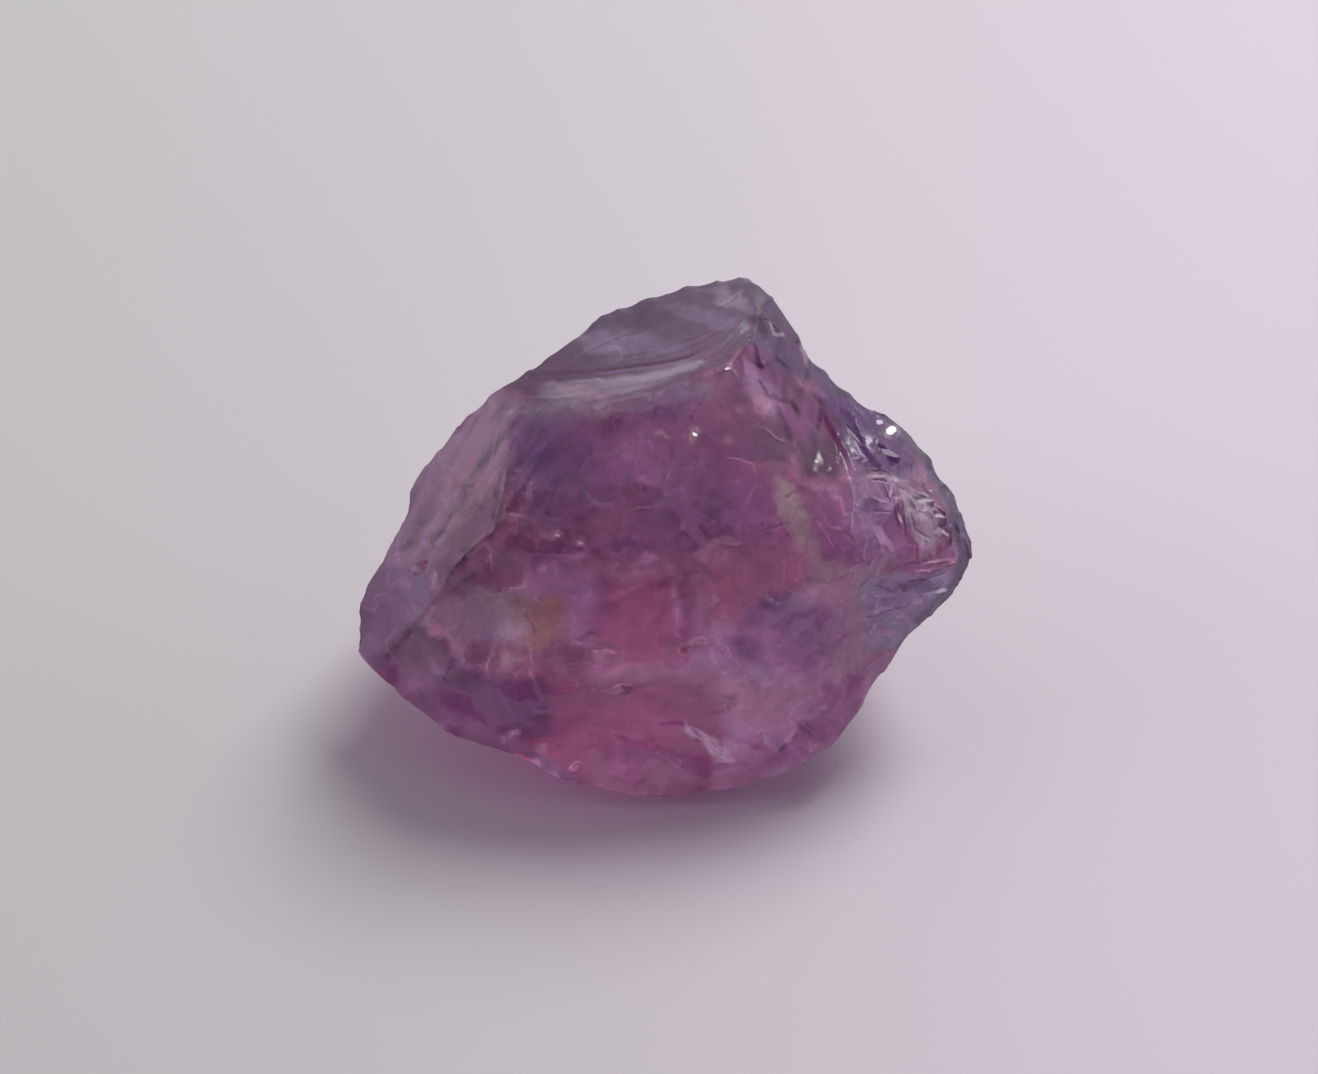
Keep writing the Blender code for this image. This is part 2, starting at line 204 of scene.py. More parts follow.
# Tiny facets turned to catch the lamp: seen place, half length, half depth, slant in degrees, frost
glints = {
    "facing": (0.267, -0.07, 0.961),
    "highest": 0.1,  # mm
    "edge": 1.5,  # where a facet has run out, in half lengths
    "leastSlope": 0.3,  # keeps skin that faces away from being pulled far out
    "spots": [
        # the tip: one bright glint with its tail, and dashes
        (4.58, 2.1, 0.095, 0.07, -40, 0.0), (4.36, 2.27, 0.06, 0.035, -20, 0.15),
        (3.84, 2.02, 0.2, 0.025, -50, 0.5), (4.54, 1.66, 0.2, 0.04, -42, 0.45),
        (3.88, 1.54, 0.06, 0.03, 0, 0.45), (4.06, 1.5, 0.05, 0.03, 0, 0.5),
        (4.3, 1.2, 0.14, 0.025, 10, 0.6), (4.62, 1.14, 0.1, 0.025, -15, 0.6),
        (4.58, 0.94, 0.16, 0.025, 82, 0.5), (4.74, 0.4, 0.2, 0.03, -78, 0.45),
        (5.2, 0.72, 0.16, 0.035, -20, 0.55), (5.5, 0.42, 0.1, 0.035, -40, 0.45),
        (5.3, -0.5, 0.36, 0.025, 5, 0.45), (5.42, -1.06, 0.2, 0.03, 10, 0.4),
        (4.42, -1.17, 0.22, 0.03, 5, 0.4), (4.4, -1.52, 0.36, 0.03, 14, 0.4),
        (4.78, -1.02, 0.09, 0.04, 8, 0.15), (4.4, -1.87, 0.16, 0.035, 0, 0.45),
        (5.62, 0.1, 0.16, 0.03, -70, 0.45),
        # specks under the roof and along the dark line across the front
        (1.36, 3.34, 0.09, 0.045, 30, 0.25), (0.7, 2.03, 0.055, 0.06, 20, 0.1),
        (0.06, 2.04, 0.05, 0.03, 10, 0.3), (-2.0, 0.04, 0.04, 0.03, 0, 0.35),
        (-1.54, -0.1, 0.045, 0.04, 30, 0.3),
        # bruises and specks of the lower front, and one on the flank
        (0.5, -2.26, 0.1, 0.06, 70, 0.08), (0.8, -2.06, 0.08, 0.04, 0, 0.15),
        (-1.64, -4.54, 0.09, 0.05, 15, 0.3), (0.74, -3.86, 0.14, 0.035, -42, 0.3),
        (1.2, -4.2, 0.2, 0.05, -42, 0.25), (-4.72, -0.6, 0.13, 0.07, 40, 0.1),
    ],
}

# The skin: the stone's own mesh, merged, cut finer, worn smooth between its ridges, then broken up
skinLook = {
    "merge": 0.001,  # mm; skin as low as this rests on the table
    "ridgeAngle": math.radians(17.0),
    "cutRounds": 7,
    "frontFrom": 0.1,  # both ends' normals of an edge, added, along the sight line
    "backFrom": -0.2,
    "frontStep": 0.1,  # longest edge, mm
    "backStep": 0.2,
    "lineStep": 0.044,  # beside single lines, and as far out from them as lineReach
    "lineReach": 0.03,
    "glintStep": 0.028,
    "glintReach": 0.06,
    "areas": [  # seen place, reach, step: tip, shoulder, roof, flank
        ((4.9, 0.2), 1.9, 0.06),
        ((4.0, 1.9), 0.9, 0.06),
        ((-0.2, 3.4), 2.5, 0.075),
        ((-4.2, 0.8), 1.9, 0.08),
    ],
    "smoothRounds": 18,
    "ridgeRounds": 3,
    "worn": [((1.75, 5.1), 0.55, 14)],  # blunter places: seen place, reach, rounds
    "front": (-0.05, 0.15),  # where the near side begins and is reached, by its normals
    "lowest": 0.004,  # mm above the table
    "sharpFrom": math.radians(28.0),
}


def stepsFor(edges):
    # tells which edges are too long for where they are seen
    middles = np.array([(edge.verts[0].co + edge.verts[1].co) / 2.0 for edge in edges])
    lengths = np.array([edge.calc_length() for edge in edges])
    normals = np.array([edge.verts[0].normal + edge.verts[1].normal for edge in edges])
    toward = normals @ sightLine
    seen = seenAt(middles)
    steps = np.full(len(edges), skinLook["frontStep"])
    for place, reach, step in skinLook["areas"]:
        steps[np.hypot(*(seen - place).T) < reach] = step
    near = np.flatnonzero((toward > skinLook["frontFrom"]) & (lengths > skinLook["glintStep"]))
    spots = seen[near]
    fine = steps[near]
    for points, width, _, _ in strokes:
        gap, _ = alongLine(points, spots)
        fine[np.abs(gap) < width + skinLook["lineReach"]] = skinLook["lineStep"]
    for across, up, half, _, _, _ in glints["spots"]:
        away = np.hypot(*(spots - (across, up)).T)
        fine[away < half + skinLook["glintReach"]] = skinLook["glintStep"]
    steps[near] = fine
    steps[toward < skinLook["backFrom"]] = skinLook["backStep"]
    return lengths > steps


def cutFiner(bm):
    # splits long edges until none is left, and turns diagonals that make thin triangles
    for _ in range(skinLook["cutRounds"]):
        bm.normal_update()
        edges = list(bm.edges)
        longEdges = [edges[count] for count in np.flatnonzero(stepsFor(edges))]
        if not longEdges:
            break
        bmesh.ops.subdivide_edges(bm, edges=longEdges, cuts=1)
        bmesh.ops.triangulate(bm, faces=[face for face in bm.faces if len(face.verts) > 3])
        inner = [edge for edge in bm.edges if edge.smooth]
        bmesh.ops.beautify_fill(bm, faces=bm.faces, edges=inner)


def smoothVerts(bm, verts, rounds):
    allWays = {"use_axis_x": True, "use_axis_y": True, "use_axis_z": True}
    for _ in range(rounds):
        bmesh.ops.smooth_vert(bm, verts=verts, factor=0.5, **allWays)


def wearSmooth(bm, fixed):
    # rounds off the coarse facets between the ridges, then the ridges along their own runs
    sharp = {v for edge in bm.edges if not edge.smooth for v in edge.verts}
    free = [v for v in bm.verts if v not in sharp and v not in fixed]
    smoothVerts(bm, free, skinLook["smoothRounds"])
    for _ in range(skinLook["ridgeRounds"]):
        moved = {}
        for v in sharp - fixed:
            ends = [edge.other_vert(v).co for edge in v.link_edges if not edge.smooth]
            if len(ends) == 2:
                moved[v] = v.co.lerp((ends[0] + ends[1]) / 2.0, 0.5)
        for v, place in moved.items():
            v.co = place
    seen = seenAt(np.array([v.co for v in bm.verts]))
    for place, reach, rounds in skinLook["worn"]:
        near = np.hypot(*(seen - place).T) < reach
        smoothVerts(bm, [v for v, inside in zip(bm.verts, near) if inside and v not in fixed], rounds)


def makeSkin():
    bm = bmesh.new()
    bm.from_mesh(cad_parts["rough_spinel"].data)
    bm.transform(Matrix.Scale(1.0 / mm, 4))
    bmesh.ops.remove_doubles(bm, verts=bm.verts, dist=skinLook["merge"])
    for edge in bm.edges:
        edge.smooth = edge.calc_face_angle(0.0) < skinLook["ridgeAngle"]
    cutFiner(bm)
    fixed = {v for v in bm.verts if v.co.z < skinLook["merge"]}
    wearSmooth(bm, fixed)
    bm.normal_update()
    return bm


skin = makeSkin()
print("skin cut:", len(skin.faces), "faces")

# Everything below sinks or raises the skin along its own normals, in mm
skinPlaces = np.array([v.co for v in skin.verts])
skinNormals = np.array([v.normal for v in skin.verts])
skinSeen = seenAt(skinPlaces)
skinFront = smoothStep(*skinLook["front"], skinNormals @ sightLine)
skinLoose = skinPlaces[:, 2] > skinLook["merge"]
skinRidge = np.array([any(not edge.smooth for edge in v.link_edges) for v in skin.verts])


def overNoise(length, seed, strength=1.0):
    # smooth noise over the skin; its length is in mm
    noise.seed_set(seed)
    return strength * np.array([noise.noise(Vector(place) / length) for place in skinPlaces])


def overNoises(count, length, seed, strength):
    return np.stack([overNoise(length, seed + number, strength) for number in range(count)], axis=1)


def treeOf(places):
    # finds the nearest of some places
    tree = KDTree(len(places))
    for count, place in enumerate(places):
        tree.insert(place, count)
    tree.balance()
    return tree


def inReach(place, reach, soft):
    # 1 near a seen place, falling to 0 at its reach
    return smoothStep(reach, reach - soft, np.hypot(*(skinSeen - place).T)) * skinFront


# Lumps and grain all over. Here and below a noise is given by its length, seed and strength
lumps = {
    "waves": [(0.95, 3, 0.02), (0.42, 4, 0.012), (0.2, 5, 0.004)],
    "lessOnRoof": 0.75,
}


def addLumps():
    waves = [overNoise(*wave) for wave in lumps["waves"]]
    return sum(waves) * (1.0 - lumps["lessOnRoof"] * roofShare())


# Small flat breaks with crisp borders: how far apart and how steep, all over and at some places
hackles = {
    "apart": 0.62,
    "tilt": 0.07,
    "places": [  # seen place, reach, apart, tilt
        ((5.0, 0.2), 1.9, 0.34, 0.26),
        ((-3.9, 1.2), 1.6, 0.4, 0.12),
        ((0.2, -3.6), 2.2, 0.45, 0.1),
        ((2.6, 0.4), 1.7, 0.5, 0.1),
        ((4.7, -1.4), 0.9, 0.24, 0.34),
    ],
    "soft": 0.6,  # share of the reach over which a place fades out
    "leastTilt": 0.3,  # each break's tilt is drawn between this share and the whole
    "lessOnRoof": 0.9,
    "squeezeFrom": 3.0,  # mm to the right; from here on the breaks get narrower
    "squeeze": 1.3,
    "wobble": (0.5, 51, 0.12),  # of their borders
    "deepest": 0.05,
    "seed": 5,
}


def addHackles():
    chance = random.Random(hackles["seed"])
    apart = np.full(len(skinPlaces), hackles["apart"])
    tilt = np.full(len(skinPlaces), hackles["tilt"])
    for place, reach, gap, steep in hackles["places"]:
        share = inReach(place, reach, hackles["soft"] * reach)
        apart += (gap - apart) * share
        tilt += (steep - tilt) * share
    tilt *= 1.0 - hackles["lessOnRoof"] * roofShare()
    places = skinPlaces.copy()
    places[:, 0] += hackles["squeeze"] * np.maximum(places[:, 0] - hackles["squeezeFrom"], 0.0)
    order = list(range(len(places)))
    chance.shuffle(order)
    heads = []
    taken = np.zeros(len(skinPlaces), dtype=bool)
    for spot in order:
        if not taken[spot]:
            heads.append(spot)
            taken |= np.linalg.norm(places - places[spot], axis=1) < apart[spot]
    tree = treeOf(places[heads])
    slopes = []
    for spot in heads:
        slope = np.array([chance.gauss(0.0, 1.0) for _ in range(3)])
        slope /= np.linalg.norm(slope)
        slope *= chance.uniform(hackles["leastTilt"], 1.0)
        slopes.append(slope * tilt[spot])
    shift = overNoises(3, *hackles["wobble"])
    rise = np.zeros(len(skinPlaces))
    for count, place in enumerate(places):
        head = tree.find(place + shift[count])[1]
        rise[count] = slopes[head] @ (skinPlaces[count] - skinPlaces[heads[head]])
    return np.clip(rise, -hackles["deepest"], hackles["deepest"])


# Shell ripples round the place each face was struck
shells = {
    "places": [  # seen centre, from, to, spacing, height
        ((-0.3, 1.6), 1.7, 6.6, 0.46, 0.011),
        ((-4.6, 2.6), 0.6, 3.6, 0.3, 0.008),
        ((3.9, 2.2), 0.5, 3.0, 0.36, 0.01),
    ],
    "teeth": (0.75, 0.35),  # crest and sink
    "drift": (1.6, 61, 0.9),
    "patches": (1.1, 65),  # noise that breaks them up, and the span over which it lets them in
    "patchSpan": (-0.15, 0.3),
    "fades": (0.5, 1.0),  # mm, within and without
}


def addShells():
    rise = np.zeros(len(skinPlaces))
    drift = overNoise(*shells["drift"])
    length, seed = shells["patches"]
    fadeIn, fadeOut = shells["fades"]
    for count, (centre, start, end, spacing, height) in enumerate(shells["places"]):
        radius = np.hypot(*(skinSeen - centre).T)
        ribs = height * sawTeeth(radius / spacing + drift, *shells["teeth"])
        ribs *= smoothStep(*shells["patchSpan"], overNoise(length, seed + count))
        ribs *= smoothStep(start, start + fadeIn, radius)
        rise += ribs * smoothStep(end, end - fadeOut, radius)
    return rise * skinFront * (1.0 - roofShare())


# Chips along the ridges: how many, radius, depth as a share of it, how far out their middles lie
chips = {
    "count": 110,
    "radius": (0.1, 0.36),
    "depth": 0.2,
    "out": (0.0, 0.4),
    "lowest": 0.3,  # mm above the table
    "seed": 8,
}


def addChips():
    chance = random.Random(chips["seed"])
    rise = np.zeros(len(skinPlaces))
    ridge = np.flatnonzero(skinRidge & (skinPlaces[:, 2] > chips["lowest"]))
    for spot in chance.sample(list(ridge), chips["count"]):
        radius = chance.uniform(*chips["radius"])
        centre = skinPlaces[spot] + skinNormals[spot] * radius * chance.uniform(*chips["out"])
        share = np.linalg.norm(skinPlaces - centre, axis=1) / radius
        hollow = -chips["depth"] * radius * (1.0 - share ** 2)
        rise = np.where(share < 1.0, np.minimum(rise, hollow), rise)
    return rise


# The roof: shell ripples that follow its lower edge and draw together to the right
roof = {
    "edge": [(-2.8, 2.45), (-1.96, 2.5), (-0.7, 2.8), (0.06, 2.96), (0.78, 3.18), (1.3, 3.46), (1.9, 4.1)],
    "softEdge": 0.06,
    "leftEnd": (-2.95, -2.6),
    "rightEnd": (2.05, 1.8),
    "wideAt": (-1.3, 0.72),  # across, and the ripples' whole width there
    "narrowAt": (1.2, 0.34),
    "widest": -0.4,  # they still widen this far left of wideAt, as a share of the way between both
    "ripples": 3,
    "drift": (0.9, 71, 0.25),
    "teeth": (0.8, 0.4),
    "height": 0.03,
    "upper": 0.35,  # strength of the ripples above the first ones
    "fade": 1.5,
}


def roofShare():
    gap, _ = alongLine(roof["edge"], skinSeen)
    across = skinSeen[:, 0]
    inside = smoothStep(0.0, roof["softEdge"], gap) * smoothStep(*roof["leftEnd"], across)
    return inside * smoothStep(*roof["rightEnd"], across) * skinFront


def ripplePhase():
    # counts the ripples up from the roof's lower edge
    gap, _ = alongLine(roof["edge"], skinSeen)
    (x0, wide), (x1, narrow) = roof["wideAt"], roof["narrowAt"]
    share = np.clip((skinSeen[:, 0] - x0) / (x1 - x0), roof["widest"], 1.0)
    return gap / (wide + (narrow - wide) * share) * roof["ripples"] + overNoise(*roof["drift"])


def rippleStrength(phase):
    above = phase - roof["ripples"]
    return np.where(above < 0.0, 1.0, roof["upper"] * np.exp(-above / roof["fade"]))


def addRipples():
    phase = ripplePhase()
    ribs = sawTeeth(phase, *roof["teeth"])
    return ribs * rippleStrength(phase) * roof["height"] * roofShare()


# Steps between the roof's side and the tip
terraces = {
    "near": ((3.85, 1.85), 0.95, 0.35),  # place, reach and soft edge
    "way": (0.88, 0.47),  # they fall this way
    "slope": 0.14,
    "width": 0.5,
    "drift": (0.9, 91, 0.4),
    "teeth": (0.72, 0.4),
}


def addTerraces():
    width = terraces["width"]
    run = (skinSeen @ np.array(terraces["way"])) / width + overNoise(*terraces["drift"])
    fall = sawTeeth(run, *terraces["teeth"])
    return -terraces["slope"] * width * fall * inReach(*terraces["near"])


def lineEnds(travel, fade):
    return smoothStep(0.0, fade, travel) * smoothStep(1.0, 1.0 - fade, travel)


def addStrokes():
    rise = np.zeros(len(skinPlaces))
    spots = skinSeen + overNoises(2, *lineLook["wobble"])
    for points, width, height, lean in strokes:
        gap, travel = alongLine(points, spots)
        body = np.clip(1.0 - np.abs(gap) / width, 0.0, 1.0)
        if lean:
            steep = np.clip(1.0 + gap / (lineLook["steepShare"] * width), 0.0, 1.0)
            body = np.where(gap < 0.0, steep, body)
        rise += height * body * lineEnds(travel, lineLook["ends"])
    sharp = inReach(*lineLook["sharp"])
    return rise * (lineLook["relief"] + (1.0 - lineLook["relief"]) * sharp) * skinFront


def turnGlints(rise):
    # turns a little ellipse of skin about its middle to face the given way; tells where
    facing = np.array(glints["facing"])
    turned = np.zeros(len(skinPlaces))
    frost = np.zeros(len(skinPlaces))
    for across, up, half, deep, slant, soft in glints["spots"]:
        share = acrossEllipse(skinSeen, across, up, half, deep, slant)
        inside = np.flatnonzero((share < glints["edge"]) & (skinFront > 0.5))
        if not len(inside):
            print("glint missed:", across, up)
            continue
        middle = skinPlaces[inside].mean(axis=0)
        slopes = np.maximum(skinNormals[inside] @ facing, glints["leastSlope"])
        flat = -((skinPlaces[inside] - middle) @ facing) / slopes
        flat = rise[inside].mean() + np.clip(flat, -glints["highest"], glints["highest"])
        hold = smoothStep(glints["edge"], 1.0, share[inside])
        rise[inside] += (flat - rise[inside]) * hold
        turned[inside] = np.maximum(turned[inside], hold)
        frost[inside] = soft
    return rise, turned, frost


skinRise = addRipples() + addStrokes() + addLumps() + addHackles() + addShells()
skinRise += addChips()
skinRise += addTerraces()
skinRise, skinGlint, glintFrost = turnGlints(skinRise)
skinPlaces += skinNormals * (skinRise * skinLoose)[:, None]
highEnough = np.maximum(skinPlaces[:, 2], skinLook["lowest"])
skinPlaces[:, 2] = np.where(skinLoose, highEnough, skinPlaces[:, 2])
for v, place in zip(skin.verts, skinPlaces):
    v.co = place
print("skin broken up")


def insideOf(points, spots):
    # for each spot, how far it lies inside a closed outline; negative outside
    gap, _ = alongLine(points + points[:1], spots)
    inside = np.zeros(len(spots), dtype=bool)
    for (x0, y0), (x1, y1) in zip(points, points[1:] + points[:1]):
        spans = (spots[:, 1] < y0) != (spots[:, 1] < y1)
        rise = y1 - y0 if y1 != y0 else 1.0
        crossing = x0 + (spots[:, 1] - y0) / rise * (x1 - x0)
        inside ^= spans & (spots[:, 0] < crossing)
    return np.where(inside, np.abs(gap), -np.abs(gap))


def paintedLineShading():
    # painted light and shade: 1 on the lit side of the single lines, -1 on the shaded one
    tone = np.zeros(len(skinPlaces))
    spots = skinSeen + overNoises(2, *lineLook["wobble"])
    for points, width, height, lean in strokes:
        gap, travel = alongLine(points, spots)
        near = np.clip(lineLook["toneReach"] - np.abs(gap) / width, 0.0, 1.0)
        if lean:
            near = np.where(gap > 0.0, near, -near)
        strength = min(1.0, abs(height) / lineLook["fullHeight"])
        tone += math.copysign(strength, height) * near * lineEnds(travel, lineLook["toneEnds"])
    return np.clip(tone, -1.0, 1.0) * skinFront


def clearShare():
    # 1 on the near side, falling to 0 some way round to the far side, sooner towards the underside
    tree = treeOf(skinPlaces[skinFront > 0.5])
    gaps = np.zeros(len(skinPlaces))
    for spot in np.flatnonzero(skinFront <= 0.5):
        gaps[spot] = tree.find(skinPlaces[spot])[2]
    gaps += overNoise(*tints["clearWarp"])
    upright = smoothStep(*tints["upright"], skinNormals[:, 2])
    return np.maximum(skinFront, smoothStep(tints["clearReach"], 0.0, gaps) * upright)


# Painted shade: dark lines along the outline, where the edges turn light away. Run of seen points, half
# width in mm, tint, frost
shadedOutlines = [
    ([(1.8, 5.1), (2.2, 4.85), (2.8, 3.95), (3.6, 3.05), (4.35, 2.65), (4.9, 2.15), (5.35, 1.6),
      (5.72, 0.85), (6.15, 0.2), (6.22, -0.4), (6.0, -1.05), (5.45, -1.65), (4.85, -2.15)],
     0.11, (0.13, 0.12, 0.2), 0.5),
    ([(-6.2, -2.4), (-6.28, -1.66), (-6.1, -1.26), (-5.68, -0.76), (-5.2, 0.14), (-5.02, 1.14),
      (-4.68, 1.74), (-3.98, 2.44), (-3.18, 3.04), (-2.28, 3.84), (-1.38, 4.38), (-0.18, 4.8),
      (0.82, 5.06), (1.8, 5.12)],
     0.07, (0.3, 0.24, 0.34), 0.6),
]

# Clearness and colour of the skin: a body tint all over, then patches, marks, rims and lines
tints = {
    "body": (0.66, 0.34, 0.55),
    "farLeft": (0.9, 0.6, 0.82),  # the far side, paler towards the right
    "farRight": (1.0, 0.9, 1.0),
    "farSpan": (-2.0, 2.0),  # mm
    "clearReach": 1.3,  # mm; how far the near side's clearness reaches round the outline
    "clearWarp": (0.9, 25, 0.6),
    "upright": (-0.75, -0.35),  # where it ends below and is whole, by the normals' upward part
    "clouds": 0.16,  # how much the body tint varies
    "cloudWaves": [(2.3, 21, 1.0), (0.8, 22, 0.6)],
    "frost": (0.12, 0.75),  # near side, and the rougher far side and underside
    "frostWave": (0.6, 23, 0.1),
    "warpAcross": [(0.9, 31, 0.14), (0.3, 32, 0.07)],  # noise that pushes the patches' edges
    "warpUp": [(0.9, 41, 0.14), (0.3, 42, 0.07)],
    "markWarp": (0.26, 45, 0.11),  # of the marks and rims
    "markEdge": (1.5, 0.5),  # where a mark or a rim has run out and where it is whole, in half widths
    "rimFront": (-0.3, 0.0),
    "streaks": ((-4.0, 1.1), 2.1, 0.6),  # on the flank: place, reach, soft edge
    "streakFrost": 0.3,
    "streakAcross": (0.83, -0.55),
    "streakAlong": (-0.55, -0.83),
    "streakWaves": [(4.5, 0.6, 0.0, 1.0), (9.0, 1.0, 5.0, 0.6)],  # per mm across and along, layer, share
    "streakSeed": 46,
    "ripples": 0.16,  # painted light and shade of the ripples on the roof
    "fineRipples": (0.7, 2.3),  # their share, and how many go to one ripple
    "fineDrift": (0.8, 73),
}

